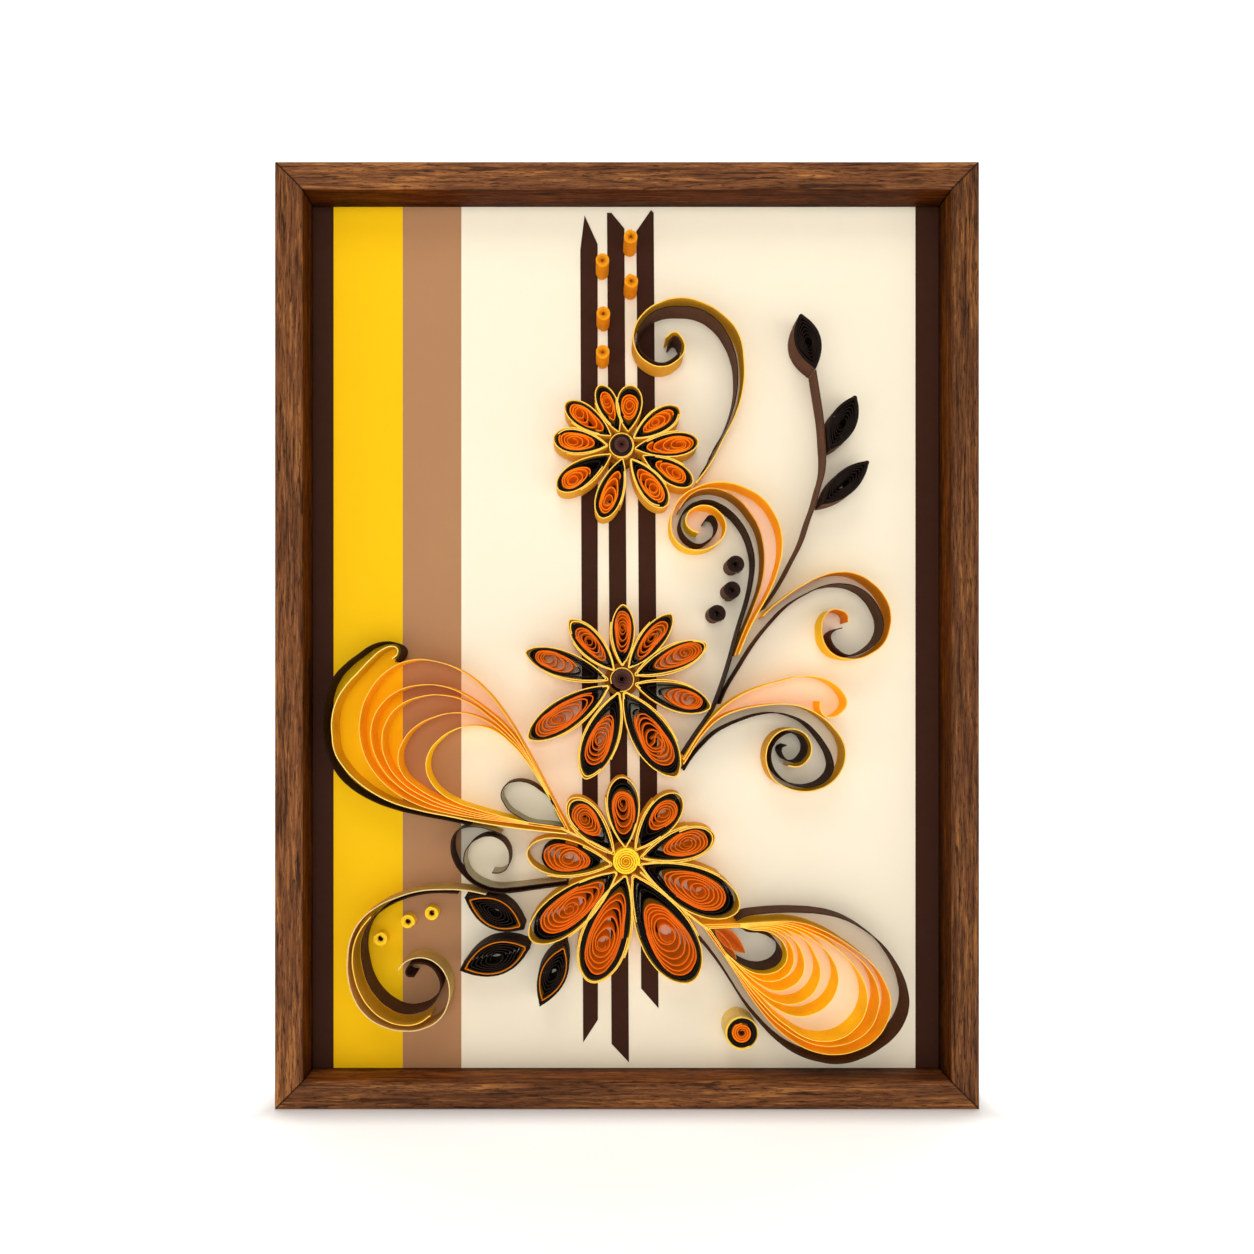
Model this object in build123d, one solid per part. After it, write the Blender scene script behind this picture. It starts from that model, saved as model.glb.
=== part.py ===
from build123d import *
import os
from math import acos, cos, dist, hypot, pi, sin

# Framed quilled paper art: paper strips standing on edge on a card collage, in a mitred wooden
# frame. Millimetres, +Z up, artwork facing -Y, origin at the bottom centre of the frame.

# Frame
frame_width = 239.0
frame_height = 321.5
frame_depth = 20.0
moulding_face = 9.5
rebate_width = 5.0
front_edge_chamfer = 0.6

# Cards and board
card_setback = 12.0
band_thickness = 0.3
base_card_thickness = 0.5
board_thickness = 3.0
board_clearance = 0.5
left_margin = 7.3
yellow_width = 24.3
tan_width = 20.6
right_margin = 8.2
stripe_thickness = 0.2
stripe_width = 6.1

# Quilling paper
rim_setback = 2.0
paper = 0.3
fan_paper = 0.25
fan_gap = 0.12
low_roll_height = 4.0
flower_roll_radius = 4.2
lower_flower_roll_radius = 4.5
orange_bead_radius = 2.4
brown_bead_radius = 3.1
yellow_bead_radius = 2.4
target_radius = 5.8
winding_hole_radius = 0.7

# Sight opening that the artwork below was laid out for, with its points taken from the centre
layout_width = 220.0
layout_height = 302.5

# How finely curves are cut into flats
largest_bow = 0.3
largest_turn = 0.62
shortest_flat = 0.4
sharpest_mitre = 0.15
coil_flats = 10
coil_turns = 1.1
coil_shrink = 0.42
coil_gap = 0.15
roll_flats = 10

# Hardware
v_nail_thickness = 0.5
v_nail_length = 7.0
v_nail_inset = 1.4
v_nail_cover = 0.2
point_width = 6.0
point_thickness = 0.4
point_cover = 1.5
point_reach = 5.0
hanger_length = 46.0
hanger_height = 9.0
hanger_thickness = 0.8
hanger_rise = 2.2
hanger_drop = 22.0
hanger_foot = 8.0
tooth_pitch = 4.0
tooth_depth = 1.6
rivet_radius = 1.4
rivet_head_radius = 2.6
rivet_head_height = 0.8

# Places worked out from the sizes above
front = -frame_depth / 2
back = frame_depth / 2
sight_width = frame_width - 2 * moulding_face
sight_height = frame_height - 2 * moulding_face
card_face = front + card_setback
base_face = card_face + band_thickness
board_face = base_face + base_card_thickness
board_back = board_face + board_thickness
strip_width = card_setback - rim_setback
card_width = sight_width + 2 * (rebate_width - board_clearance)
card_height = sight_height + 2 * (rebate_width - board_clearance)
middle = frame_height / 2
rail_wall = moulding_face - rebate_width
art_scale = min(sight_width / layout_width, sight_height / layout_height)

parts = {}


def place(point):
    """Moves a point of the layout to its place in the sight opening."""
    x, z = point
    return (x * art_scale, middle + z * art_scale)


def upright(face, seat, height):
    """Stands a flat XZ outline on the plane y = seat, reaching towards the viewer."""
    return extrude(Plane.XZ.offset(-seat) * face, amount=height, dir=(0, -1, 0))


def outline_face(outer, holes=()):
    """A face in the sketch plane from a closed list of points, with closed lists cut out."""
    loops = [Wire.make_polygon([(x, z, 0) for x, z in points], close=True) for points in [outer, *holes]]
    return Face(loops[0], loops[1:])


def flats(points):
    """Runs a smooth curve through the points and cuts it into flats, closer where it bends."""
    curve = Spline(*[(x, z) for x, z in points])
    count = 16 * len(points)
    fine = [curve.position_at(i / count) for i in range(count + 1)]
    fine = [(p.X, p.Y) for p in fine]
    kept = [fine[0]]
    start = 0
    for end in range(2, count + 1):
        (x0, z0), (x1, z1) = fine[start], fine[end]
        chord = hypot(x1 - x0, z1 - z0)
        bow = max(abs((x1 - x0) * (z - z0) - (z1 - z0) * (x - x0)) for x, z in fine[start:end]) / chord
        run_in = (fine[start + 1][0] - x0, fine[start + 1][1] - z0)
        run_out = (x1 - fine[end - 1][0], z1 - fine[end - 1][1])
        cosine = (run_in[0] * run_out[0] + run_in[1] * run_out[1]) / hypot(*run_in) / hypot(*run_out)
        if bow > largest_bow or acos(max(-1.0, min(1.0, cosine))) > largest_turn:
            start = end - 1
            kept.append(fine[start])
    kept.append(fine[-1])
    return kept


def side(points, offset, closed=False):
    """The line beside a run of flats, to its left by offset, mitred at each corner."""
    count = len(points)
    beside = []
    for i, (x, z) in enumerate(points):
        before = points[i - 1] if i or closed else None
        after = points[(i + 1) % count] if i < count - 1 or closed else None
        normals = []
        for (x0, z0), (x1, z1) in [pair for pair in ((before, (x, z)), ((x, z), after)) if None not in pair]:
            length = dist((x0, z0), (x1, z1))
            normals.append(((z0 - z1) / length, (x1 - x0) / length))
        nx = sum(n[0] for n in normals)
        nz = sum(n[1] for n in normals)
        reach = 2 * offset / max(nx * nx + nz * nz, sharpest_mitre) if len(normals) == 2 else offset
        beside.append((x + nx * reach, z + nz * reach))
    return beside


def strip(points, seat=card_face):
    """An open paper strip on edge along a smooth curve."""
    run = flats(points)
    outline = side(run, paper / 2) + side(run, -paper / 2)[::-1]
    return upright(outline_face(outline), seat, strip_width)


def turned_left(run):
    """The closed run taken the way round that keeps its inside on the left."""
    area = sum(a[0] * b[1] - b[0] * a[1] for a, b in zip(run, run[1:] + run[:1]))
    return run if area > 0 else run[::-1]


def ring(run, thickness):
    """A closed strip along a closed run of flats that bounds it outside."""
    run = turned_left(run)
    return outline_face(run, [side(run, thickness, closed=True)])


def nearest_edge(point, run):
    """Depth of a point inside a closed run, its foot on the nearest edge and that edge's inward way."""
    x, z = point
    found = None
    for (x0, z0), (x1, z1) in zip(run, run[1:] + run[:1]):
        length = dist((x0, z0), (x1, z1))
        ux, uz = (x1 - x0) / length, (z1 - z0) / length
        along = max(0.0, min(length, (x - x0) * ux + (z - z0) * uz))
        foot = (x0 + ux * along, z0 + uz * along)
        away = dist(point, foot)
        if found is None or away < found[0]:
            depth = away if (z - z0) * ux > (x - x0) * uz else -away
            found = (away, depth, foot, (-uz, ux))
    return found[1:]


def kept_inside(run, outer, gap):
    """A closed run with each point moved, where it has to be, to lie a gap inside another run."""
    outer = turned_left(outer)
    inside = []
    for x, z in run:
        depth, foot, inward = nearest_edge((x, z), outer)
        if depth < gap:
            x, z = foot[0] + inward[0] * gap, foot[1] + inward[1] * gap
        if not inside or dist((x, z), inside[-1]) > shortest_flat:
            inside.append((x, z))
    return inside


def pinched_outline(tip, end, width, tip_pinch, end_pinch, count):
    """A leaf or drop outline from tip to end: pinch 0 is round, 1 is a sharp point."""
    length = dist(tip, end)
    ux, uz = (end[0] - tip[0]) / length, (end[1] - tip[1]) / length

    def swell(t):
        return sin(t) * abs(sin(t / 2)) ** tip_pinch * abs(cos(t / 2)) ** end_pinch

    widest = max(swell(pi * i / 100) for i in range(101))
    outline = []
    for i in range(count):
        t = 2 * pi * i / count
        along = length / 2 * (1 - cos(t))
        across = -width / 2 * swell(t) / widest
        outline.append((tip[0] + ux * along - uz * across, tip[1] + uz * along + ux * across))
    return outline


def coil(tip, end, width, tip_pinch=1.0, end_pinch=0.3, eye=0.6):
    """A loose coil pinched to shape: a closed outer turn, and its strip spiralling in to the eye."""
    tip, end = place(tip), place(end)
    outline = pinched_outline(tip, end, width * art_scale, tip_pinch, end_pinch, coil_flats)
    inset = side(outline, paper, closed=True)
    centre = (tip[0] + (end[0] - tip[0]) * eye, tip[1] + (end[1] - tip[1]) * eye)
    last = round(coil_turns * coil_flats)

    def outer_face(step):
        scale = 1.0 - coil_shrink * max(step, 0) / coil_flats
        return tuple(c + (p - c) * scale for c, p in zip(centre, outline[step % coil_flats]))

    def inner_face(step):
        k = step % coil_flats
        return tuple(o + i - p for o, i, p in zip(outer_face(step), inset[k], outline[k]))

    first = next(step for step in range(1, last) if nearest_edge(outer_face(step), inset)[0] > coil_gap)
    gap = [inner_face(step) for step in range(first - coil_flats, last + 1)]
    gap += [outer_face(step) for step in range(last, first - 1, -1)]
    return outline_face(outline, [gap])


def round_outline(centre, radius, stride=1):
    """Corners of a circle's flats; a stride of 2 leaves every other corner out."""
    angles = [2 * pi * i / roll_flats for i in range(0, roll_flats, stride)]
    return [(centre[0] + radius * cos(angle), centre[1] + radius * sin(angle)) for angle in angles]


def tight_roll(centre, radius, seat=card_face, height=strip_width):
    """A tightly wound roll with the small hole that the winding tool leaves."""
    centre = place(centre)
    hole = round_outline(centre, winding_hole_radius, 2)
    face = outline_face(round_outline(centre, radius * art_scale), [hole])
    return upright(face, seat, height)


def nested_loops(corner, upper_way, lower_way, leads, loops):
    """Outlines of the loops of one fan, glued side by side where they run back to its corner.

    Loops are listed from the outermost inwards, and each lies one paper and one gap inside the last.
    Ways point out of the corner along the glued lanes, and leads are distances along them.
    """
    pitch = fan_paper + fan_gap
    between = (upper_way[0] + lower_way[0], upper_way[1] + lower_way[1])
    length = hypot(*between)
    bisector = (between[0] / length, between[1] / length)
    half_angle = acos(bisector[0] * upper_way[0] + bisector[1] * upper_way[1])
    runs = []
    for lane, points in enumerate(loops):
        inset = lane * pitch / sin(half_angle) / art_scale
        base = (corner[0] + bisector[0] * inset, corner[1] + bisector[1] * inset)
        starts = [lead - inset * cos(half_angle) for lead in leads]
        upper = [(base[0] + upper_way[0] * start, base[1] + upper_way[1] * start) for start in starts]
        lower = [(base[0] + lower_way[0] * start, base[1] + lower_way[1] * start) for start in starts]
        run = [place(base)] + flats([place(p) for p in [*upper, *points, *lower[::-1]]])
        runs.append(kept_inside(run, runs[-1], pitch) if runs else run)
    return runs


def rings(runs, thickness):
    return Compound(children=[upright(ring(run, thickness), card_face, strip_width) for run in runs])


# Frame rails, mitred at the corners, with a rebate behind for the cards and the board
def rail(length, angle, centre):
    profile = Polyline(
        (front, 0),
        (front, moulding_face),
        (card_face, moulding_face),
        (card_face, rail_wall),
        (back, rail_wall),
        (back, 0),
        close=True,
    )
    section = make_face(profile)
    section = chamfer(section.vertices().sort_by(Axis.X)[:2], front_edge_chamfer)
    bar = extrude(Plane((-length / 2, 0, 0), x_dir=(0, 1, 0), z_dir=(1, 0, 0)) * section, amount=length)
    half = length / 2
    mitre = [(-half, 0), (half, 0), (half - moulding_face, moulding_face), (moulding_face - half, moulding_face)]
    bar = bar & upright(outline_face(mitre), back, frame_depth)
    return Pos(*centre) * Rot(0, angle, 0) * bar


rails = {
    "frame_rail_bottom": rail(frame_width, 0, (0, 0, 0)),
    "frame_rail_top": rail(frame_width, 180, (0, 0, frame_height)),
    "frame_rail_left": rail(frame_height, 90, (-frame_width / 2, 0, middle)),
    "frame_rail_right": rail(frame_height, -90, (frame_width / 2, 0, middle)),
}


# V-nails, one leg in each rail, driven in from behind across each mitre
v_nail_leg = rail_wall - v_nail_inset - v_nail_cover


def v_nail(x_side, z_side):
    x = x_side * (frame_width / 2 - v_nail_inset)
    z = v_nail_inset if z_side < 0 else frame_height - v_nail_inset
    legs = [
        (x, z),
        (x - x_side * v_nail_leg, z),
        (x - x_side * v_nail_leg, z - z_side * v_nail_thickness),
        (x - x_side * v_nail_thickness, z - z_side * v_nail_thickness),
        (x - x_side * v_nail_thickness, z - z_side * v_nail_leg),
        (x, z - z_side * v_nail_leg),
    ]
    return upright(outline_face(legs), back, v_nail_length)


v_nails = [v_nail(x_side, z_side) for x_side in (-1, 1) for z_side in (-1, 1)]


# Framer's points: steel tabs pushed into the rails over the back of the board
point_grip = rail_wall - point_cover


def framer_point(x, z, way_x, way_z):
    wall_x = x + way_x * rail_wall
    wall_z = z + way_z * rail_wall
    length = point_grip + point_reach
    size_x = length if way_x else point_width
    size_z = length if way_z else point_width
    shift = (point_reach - point_grip) / 2
    tab = Box(size_x, point_thickness, size_z)
    return Pos(wall_x + way_x * shift, board_back + point_thickness / 2, wall_z + way_z * shift) * tab


points_across = [-frame_width / 4, frame_width / 4]
points_up = [frame_height * share for share in (0.25, 0.75)]
framer_points = [framer_point(x, 0, 0, 1) for x in points_across]
framer_points += [framer_point(x, frame_height, 0, -1) for x in points_across]
framer_points += [framer_point(-frame_width / 2, z, 1, 0) for z in points_up]
framer_points += [framer_point(frame_width / 2, z, -1, 0) for z in points_up]

for name, bar in rails.items():
    for sunk in v_nails + framer_points:
        bar = bar - sunk
    parts[name] = bar
parts["corner_v_nails"] = Compound(children=v_nails)
parts["framer_points"] = Compound(children=framer_points)

# Sawtooth hanger: a strip with flat feet and a raised middle whose lower edge is toothed
hanger_top = frame_height - hanger_drop
foot_start = hanger_length / 2
bridge_start = foot_start - hanger_foot
hanger_line = [
    (-foot_start, board_back),
    (-bridge_start, board_back),
    (-bridge_start + hanger_rise, board_back + hanger_rise),
    (bridge_start - hanger_rise, board_back + hanger_rise),
    (bridge_start, board_back),
    (foot_start, board_back),
]
hanger_section = hanger_line + [(x, y + hanger_thickness) for x, y in hanger_line[::-1]]
plate = extrude(outline_face(hanger_section), amount=hanger_height, dir=(0, 0, 1))
plate = Pos(0, 0, hanger_top - hanger_height) * plate
tooth_count = int(2 * (bridge_start - hanger_rise) / tooth_pitch)
for i in range(tooth_count):
    x = (i - (tooth_count - 1) / 2) * tooth_pitch
    notch_foot = hanger_top - hanger_height
    notch = [(x - tooth_pitch / 2, notch_foot), (x + tooth_pitch / 2, notch_foot), (x, notch_foot + tooth_depth)]
    plate = plate - upright(outline_face(notch), back, back - board_back)
rivet_x = foot_start - hanger_foot / 2
rivet_z = hanger_top - hanger_height / 2
head_face = board_back + hanger_thickness
rivets = []
for x in (-rivet_x, rivet_x):
    shank = outline_face(round_outline((x, rivet_z), rivet_radius))
    head = outline_face(round_outline((x, rivet_z), rivet_head_radius))
    shank = upright(shank, head_face, head_face - board_face)
    plate = plate - shank
    rivets.append(shank + upright(head, head_face + rivet_head_height, rivet_head_height))
parts["sawtooth_hanger"] = plate
parts["hanger_rivets"] = Compound(children=rivets)


# Backing board and cards
def sheet(left, right, face, thickness):
    return Pos((left + right) / 2, face + thickness / 2, middle) * Box(right - left, thickness, card_height)


board = sheet(-card_width / 2, card_width / 2, board_face, board_thickness)
for rivet in rivets:
    board = board - rivet
parts["backing_board"] = board
parts["base_card"] = sheet(-card_width / 2, card_width / 2, base_face, base_card_thickness)
yellow_left = -sight_width / 2 + left_margin
tan_left = yellow_left + yellow_width
cream_left = tan_left + tan_width
cream_right = sight_width / 2 - right_margin
parts["yellow_band"] = sheet(yellow_left, tan_left, card_face, band_thickness)
parts["tan_band"] = sheet(tan_left, cream_left, card_face, band_thickness)
parts["cream_panel"] = sheet(cream_left, cream_right, card_face, band_thickness)


# Dark stripes on the cream panel; each end is a knife cut, given as (share across, height)
def stripe(top_left, bottom_left, top_cut, bottom_cut):
    top = [(top_left + share * stripe_width, z) for share, z in top_cut]
    bottom = [(bottom_left + share * stripe_width, z) for share, z in bottom_cut]
    return upright(outline_face([place(p) for p in top + bottom]), card_face, stripe_thickness)


parts["stripe_left"] = stripe(-16.0, -15.9, [(0, 136.2), (0.25, 148.2), (1, 138.2)], [(1, -134.3), (0.15, -142.3)])
parts["stripe_middle"] = stripe(-6.6, -5.0, [(0, 149.2), (0.25, 149.2), (1, 143.7)], [(1, -149.3), (0, -142.8)])
parts["stripe_right"] = stripe(3.7, 5.4, [(0, 142.7), (0.85, 150.2), (1, 149.2)], [(1, -130.3), (0, -123.3)])
stripe_face = card_face - stripe_thickness

# Daisies: petals as (tip, outer end, width), pinched at the tip and less at the outer end
upper_petals = [
    ((-2.8, 70.2), (-9.5, 85.8), 6.7),
    ((0.8, 70.4), (1.2, 86.2), 7.8),
    ((3.0, 67.8), (18.2, 77.7), 7.5),
    ((3.4, 63.6), (25.1, 66.3), 8.0),
    ((6.6, 60.8), (23.0, 51.5), 7.6),
    ((1.9, 59.5), (13.7, 43.6), 8.0),
    ((-1.4, 59.6), (-8.8, 39.8), 7.8),
    ((-5.9, 61.4), (-24.0, 49.9), 8.4),
    ((-7.2, 64.8), (-25.6, 67.5), 8.4),
    ((-6.0, 68.8), (-21.4, 79.6), 7.6),
]
middle_petals = [
    ((-1.5, -9.5), (-1.3, 11.3), 8.5),
    ((1.0, -10.3), (15.8, 8), 8.6),
    ((3.3, -13.2), (27.7, -2.7), 9.8),
    ((3.5, -16.6), (29.1, -24.5), 10.2),
    ((-0.9, -19.8), (17.4, -48.5), 13.2),
    ((-2.9, -20), (-14.6, -49.4), 12.0),
    ((-6.8, -17.5), (-34.3, -35.5), 11.0),
    ((-7.0, -15.1), (-35.3, -5.2), 9.6),
    ((-4.8, -11.2), (-20.1, 6), 9.0),
]
lower_petals = [
    ((-0.5, -71.4), (-2.0, -47), 10.8),
    ((3.3, -72.6), (18.3, -53.6), 10.0),
    ((5.3, -75.6), (30.5, -67.8), 11.0),
    ((5.2, -78.2), (38.0, -92.4), 14.6),
    ((2.4, -82.2), (22.6, -118.2), 17.6),
    ((-0.4, -82.6), (-12.0, -118.3), 15.6),
    ((-3.9, -81.2), (-32.4, -103.4), 13.0),
    ((-5.6, -78.2), (-34.2, -73.2), 12.0),
    ((-4.8, -74.2), (-20.0, -55.2), 9.6),
]


def daisy(petals, end_pinch):
    faces = [coil(tip, end, width, end_pinch=end_pinch) for tip, end, width in petals]
    return Compound(children=[upright(face, stripe_face, strip_width) for face in faces])


parts["upper_flower_petals"] = daisy(upper_petals, 0.3)
parts["middle_flower_petals"] = daisy(middle_petals, 0.6)
parts["lower_flower_petals"] = daisy(lower_petals, 0.3)
parts["upper_flower_centre"] = tight_roll((-1.9, 64.9), flower_roll_radius, stripe_face)
parts["middle_flower_centre"] = tight_roll((-1.7, -14.9), flower_roll_radius, stripe_face)
parts["lower_flower_centre"] = tight_roll((-0.3, -76.9), lower_flower_roll_radius, stripe_face)

# Leaves, pinched at both ends
leaf_tips = {
    "spray_leaf_upper": ((-54.8, -88.5), (-33.8, -98.5), 8.0),
    "spray_leaf_lower": ((-56.8, -115), (-31.0, -106), 8.6),
    "spray_leaf_down": ((-29.7, -126.3), (-20.0, -105.2), 8.8),
    "stem_leaf_top": ((64.2, 91), (59.2, 109.8), 9.2),
    "stem_leaf_middle": ((69.2, 63.4), (78.1, 81.9), 9.2),
    "stem_leaf_lower": ((66.4, 44.8), (82.5, 59.6), 8.2),
}
for name, (tip, end, width) in leaf_tips.items():
    leaf = coil(tip, end, width, end_pinch=0.9, eye=0.5)
    parts[name] = upright(leaf, card_face, strip_width)

# Small tight rolls
orange_beads = [(-8.4, 128.1), (-8.1, 109.9), (-8.3, 96.8), (1.4, 136), (1.6, 120.9)]
brown_beads = [(37.0, 24.4), (35.8, 15.7), (30.7, 7.6)]
yellow_beads = [(-75.9, -99), (-67.5, -96.1), (-85.3, -104.9)]


def beads(centres, radius, seat=card_face, height=strip_width):
    return Compound(children=[tight_roll(centre, radius, seat, height) for centre in centres])


parts["orange_beads"] = beads(orange_beads, orange_bead_radius, stripe_face)
parts["brown_beads"] = beads(brown_beads, brown_bead_radius)
parts["yellow_beads"] = beads(yellow_beads, yellow_bead_radius, height=low_roll_height)
parts["target_roll"] = tight_roll((39.3, -135.5), target_radius)

# Scrolls, each an open strip
scrolls = {
    "crest_scroll_orange": [
        (38.2, -6.3), (42.5, 3.7), (49, 15.7), (51.5, 22.2), (53, 29.7), (52.5, 36.2), (50, 42.2),
        (46, 47.2), (41, 50.2), (35, 52.2), (29, 52.2), (24, 50.7), (19, 47.7), (16, 43.2), (15, 38.2),
        (16, 33.7), (19.5, 30.2), (24, 29.2), (27.5, 29.7), (31, 31.7), (33.5, 35.2), (33.5, 39.2),
        (31, 42.7), (27.5, 44.4), (23.5, 43.9), (20.8, 41.7), (20.2, 38.7), (22, 36.2), (24.5, 35.2),
    ],
    "crest_scroll_gold": [
        (36.8, -6.8), (39, -0.8), (43.5, 10.2), (46, 17.7), (47, 25.7), (46.5, 31.7), (45, 37.2),
        (42, 42.2), (38, 46.7), (32.5, 49.7), (27, 50.2), (22.5, 48.7), (19.8, 46.2), (17.8, 43.2),
    ],
    "crest_scroll_brown": [
        (19.2, -40.7), (21.7, -36.8), (24.7, -32.4), (27.4, -28.6), (29.7, -25), (31, -21.8), (32.5, -17.8),
        (34.8, -10.8), (39, 4.2), (41.5, 12.2), (43, 19.2), (43.5, 25.7),
        (42.5, 31.2), (41, 35.2), (38.5, 39.2), (35.5, 42.4), (32, 44.8), (28, 46.2), (24, 45.7),
        (20.5, 43.7), (18.5, 40.2), (18.5, 36.2), (21, 32.7), (24.5, 31.2), (28, 32.7), (30.5, 35.7),
        (30.5, 39.2), (28.5, 41), (26.5, 39.2),
    ],
    "side_scroll_orange": [
        (46.5, 6.7), (49.5, 9.7), (54, 13.2), (60, 17.2), (66, 20.2), (72, 21.7), (78, 21.2), (83.5, 18.2),
        (88, 13.2), (90, 7.7), (89.5, 1.7), (87.5, -2.8), (83.5, -6), (79, -7.8), (75, -7.8),
        (70.5, -6.3), (67.5, -2.8), (66.5, 1.7), (67, 5.7), (69.5, 8.7), (73, 8.7),
        (75.2, 7.2), (75.5, 4.7),
    ],
    "side_scroll_brown": [
        (31.8, -23.3), (34, -18.3), (38.5, -10.8), (43.5, -2.8), (49.5, 4.7), (55.5, 10.7), (62, 14.7),
        (68, 17.2), (74, 17.7), (79, 16.4), (83, 13.5), (86, 9.2), (87.5, 4.2), (86.5, -0.3),
        (83.5, -3.8), (79.5, -6), (75.5, -6.6), (72, -4.8), (70, -2.3), (69.5, 0.2), (71.2, 2),
        (73.5, 2.7),
    ],
    "small_scroll_orange": [
        (19.3, -42.3), (25.2, -32.9), (31, -26.2), (37, -21.5), (44, -18.1), (52.5, -15.5), (60, -13.8),
        (66, -14.3), (70.5, -16.3), (74, -19.8), (75, -23.3), (73, -26.3), (70, -27.8), (67.5, -27.3),
        (66, -24.8), (66, -22.3),
    ],
    "round_scroll_gold": [
        (19.3, -43.8), (26.5, -33), (32, -28), (38.5, -25.3), (46, -23.8), (53.5, -23.3), (60, -24.3),
        (66, -27.3), (70.5, -31.3), (74, -36.8), (74.5, -41.8), (73, -46.3), (69.5, -50.3), (65, -52.5),
        (60, -53.1), (54.5, -51.8), (50, -48.8), (48, -44.8), (47.5, -40.3), (49, -35.8), (52, -32.8), (55.5, -31.8),
        (59.5, -32.6), (62, -35), (63, -38.8), (61.5, -42.6), (58.5, -44.6), (55, -44.3),
    ],
    "round_scroll_brown": [
        (19.4, -46), (22.2, -41.6), (25.3, -37.9), (30.2, -33.2), (34.5, -30.7), (39.2, -28.7),
        (45.5, -26.8), (51, -26.3),
        (56, -27.3), (60.5, -29.3), (64, -32.3), (67.5, -36.8), (70, -41.8), (70.3, -45.8), (68, -49.3),
        (64, -51.3), (60, -51.6), (55.5, -50.3), (51.5, -47.3), (49.5, -43.8), (49.2, -39.8), (50.5, -36.5),
        (53, -34.1), (56, -33), (59, -33.8), (61, -36), (61.5, -38.8), (60.3, -41.5), (58, -43.1),
        (55.2, -42.6), (53.2, -40.8), (52.8, -38.3), (54.5, -37.3),
    ],
    "left_fan_dark": [
        (-79, -8.8), (-77, -6.3), (-77, -4.1), (-79, -2.5), (-82.5, -2.1), (-87, -3.3), (-91.5, -6.3),
        (-96, -9.8), (-100, -14.3), (-102.5, -20.3), (-103.7, -27.3), (-103.5, -34.8), (-101.7, -41.3),
        (-98.5, -47.3), (-94, -51.8), (-87.5, -55.8), (-80, -58.8), (-70.5, -61.1), (-61.5, -62.8), (-53.5, -64.5),
    ],
    "left_fan_gold": [
        (-79.5, -4.8), (-83, -5.3), (-87.5, -8.5), (-91.5, -12.3), (-96, -17.3), (-99, -22.3),
        (-100.5, -27.8), (-100.5, -33.8), (-99.5, -39.8), (-96.5, -44.8), (-92, -49.5), (-86.5, -53.5),
        (-80, -56.8), (-70.5, -59.6), (-60.5, -61.6), (-50, -63.7), (-40, -65.3), (-29.5, -66.6), (-20.5, -67.5),
    ],
    "tendril_outer": [
        (-20, -84.9), (-31.5, -86.5), (-38, -87.4), (-43.5, -87.7), (-48, -86.8), (-52, -84.8), (-56, -81.3),
        (-59, -76.8), (-60, -72.3), (-59.3, -68.5), (-57.2, -66.1), (-54, -65.2), (-50, -65.3), (-45.5, -66.5),
        (-43, -67.5),
    ],
    "tendril_inner": [
        (-46, -80.8), (-43.5, -80.8), (-41, -79.3), (-40, -75.3), (-41, -71.8), (-43.5, -69.3), (-47, -68.3),
        (-51, -69.3), (-54, -71.8), (-55.5, -75.3), (-55, -79.3), (-53, -82.3), (-49, -84.8), (-44.5, -86),
        (-39, -85.8), (-32, -85), (-20.5, -83.5),
    ],
    "ground_scroll_gold": [
        (-48, -88.2), (-55, -86.8), (-63.5, -86.5), (-71, -87.1), (-78, -89.1), (-85, -92.3), (-90.5, -96.8),
        (-94, -102.8), (-95.2, -109.8), (-95, -116.8), (-93, -123.8), (-89, -129.5), (-83, -133.3), (-75.5, -134.8), (-69, -133.8),
        (-63.5, -130.3), (-61, -125.3), (-60.5, -120.3), (-61.7, -115.8), (-64.5, -112.1), (-68.5, -110),
        (-72.5, -110), (-76, -111.6), (-78, -114.1),
    ],
    "ground_scroll_inner": [
        (-87.3, -95.8), (-90.5, -99.8), (-92.7, -104.3), (-93.6, -109.8), (-93, -115.8), (-91, -121.8), (-87.5, -127.1),
        (-82.5, -131), (-76.5, -132.8), (-71, -132.1), (-67, -129.5),
    ],
    "ground_scroll_brown": [
        (-57.5, -87.8), (-64.5, -87.6), (-71, -88.3), (-77.5, -90.3), (-83, -93.3), (-87.3, -97.3), (-89.7, -101.8),
        (-90.6, -106.8), (-90, -112.3), (-88.5, -117.8), (-85.5, -122.8), (-81, -126.8), (-76, -128.8), (-71, -128.3),
        (-67, -126.3), (-64.5, -122.8), (-63.5, -119.3), (-64.5, -115.8), (-66.7, -113), (-70, -111.8), (-73.2, -112.1),
        (-75.2, -113.8), (-75, -115.8), (-72.5, -116.3),
    ],
    "right_fan_dark": [
        (40.5, -95.6), (45.5, -94.8), (52.5, -94.3), (59, -94.3), (66, -94.8), (73, -96.3), (78.5, -98.8), (83, -101.8),
        (87.3, -105.5), (91, -110.3), (93.8, -115.3), (95.5, -120.3), (96.1, -125.8), (94.7, -131.3), (91.5, -136.3),
        (86.5, -140.5), (80.5, -143.8), (73, -145.8), (65, -145), (57.5, -142.3), (51.3, -138), (45.5, -132.1),
        (40.2, -125.5), (35.7, -118.4), (31.2, -111.6), (26.7, -105.8), (24, -102.8),
    ],
    "stem": [
        (64.6, 89.5), (66, 80.7), (67, 73.7), (67.5, 66.7), (67.8, 61.2), (67.4, 55.7), (66, 50.7),
        (64.5, 45.2), (62.5, 39.7), (60, 32.2), (56.5, 25.2), (52.8, 18.2), (49.3, 12.7), (46.8, 9.2),
    ],
}
for name, points in scrolls.items():
    parts[name] = strip([place(p) for p in points])

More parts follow.
